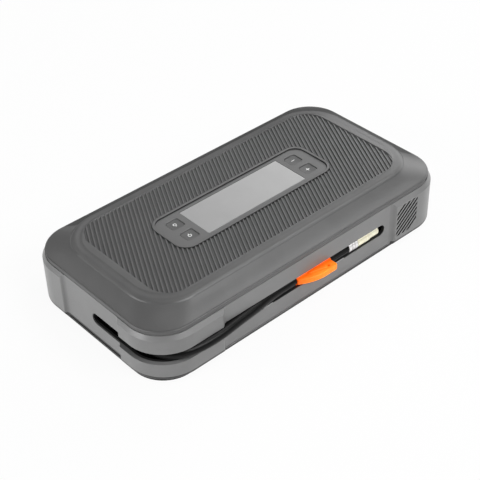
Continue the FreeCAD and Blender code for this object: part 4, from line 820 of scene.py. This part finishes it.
# Key icons
# The icons are printed in white ink on the keys' dished tops: a lamp, the power sign, a minus and a plus. Each is a
# thin film of ink that follows the dish.
def film(name, key, strokes, material):
    """A printed icon of flat strokes, laid on the top of a key and given the ink's thickness."""
    low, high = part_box(key)
    start = Vector(((low[0] + high[0]) / 2, (low[1] + high[1]) / 2, high[2] + 5 * MM))
    down = Vector((0.0, 0.0, -1.0))
    surface = BVHTree.FromPolygons([v.co for v in nodes[key].data.vertices],
                                   [tuple(p.vertices) for p in nodes[key].data.polygons])
    bm = bmesh.new()
    for stroke in strokes:
        rings = []
        for edges in stroke:
            left, right_side = [surface.ray_cast(start + Vector((x * MM, y * MM, 0.0)), down)[0] for x, y in edges]
            corners = ((left, ink_bottom), (left, ink_top), (right_side, ink_top), (right_side, ink_bottom))
            rings.append([bm.verts.new(spot + Vector((0.0, 0.0, rise))) for spot, rise in corners])
        skin_over(bm, rings)
    return mesh_piece(name, bm, material, key)


def bar(x0, y0, x1, y1, width, pieces=6):
    """A straight stroke as pairs of edge points, in millimetres round the key's middle."""
    along = Vector((x1 - x0, y1 - y0))
    across = Vector((-along.y, along.x)).normalized() * width / 2
    pairs = []
    for index in range(pieces + 1):
        point = Vector((x0, y0)) + along * index / pieces
        pairs.append((tuple(point + across), tuple(point - across)))
    return pairs


def bow(x, y, radius, start, end, width, pieces=24):
    """A round stroke as pairs of edge points. Angles are in degrees."""
    pairs = []
    for index in range(pieces + 1):
        angle = math.radians(start + (end - start) * index / pieces)
        ray = Vector((math.cos(angle), math.sin(angle)))
        middle = Vector((x, y))
        pairs.append((tuple(middle + ray * (radius + width / 2)), tuple(middle + ray * (radius - width / 2))))
    return pairs


ink, tree, shader = finish("white_ink", 0.45)
patch = grain(tree, place(tree), 0.0009, 3.0)
tree.links.new(shades(tree, patch, (0.74, 0.74, 0.74), (0.88, 0.88, 0.88)), shader.inputs["Base Color"])
tree.links.new(spread(tree, patch, 0.38, 0.55), shader.inputs["Roughness"])
relief(tree, shader, (patch, 0.00001, 0.3))
ink_bottom = -0.02 * MM
ink_top = 0.04 * MM
line = 0.5
thin_line = 0.4
film("icon_lamp", "button_light", [
    bow(0.0, 0.40, 1.0, -50.0, 230.0, line),
    bar(-0.65, -0.65, 0.65, -0.65, thin_line),
    bar(-0.45, -1.30, 0.45, -1.30, thin_line),
], ink)
film("icon_power", "button_power", [
    bow(0.0, -0.15, 1.1, 125.0, 415.0, line),
    bar(0.0, 0.3, 0.0, 1.7, line),
], ink)
film("icon_minus", "button_minus", [bar(-1.4, 0.0, 1.4, 0.0, line)], ink)
film("icon_plus", "button_plus", [
    bar(-1.4, 0.0, 1.4, 0.0, line),
    bar(0.0, 1.4, 0.0, line / 2, line),
    bar(0.0, -line / 2, 0.0, -1.4, line),
], ink)
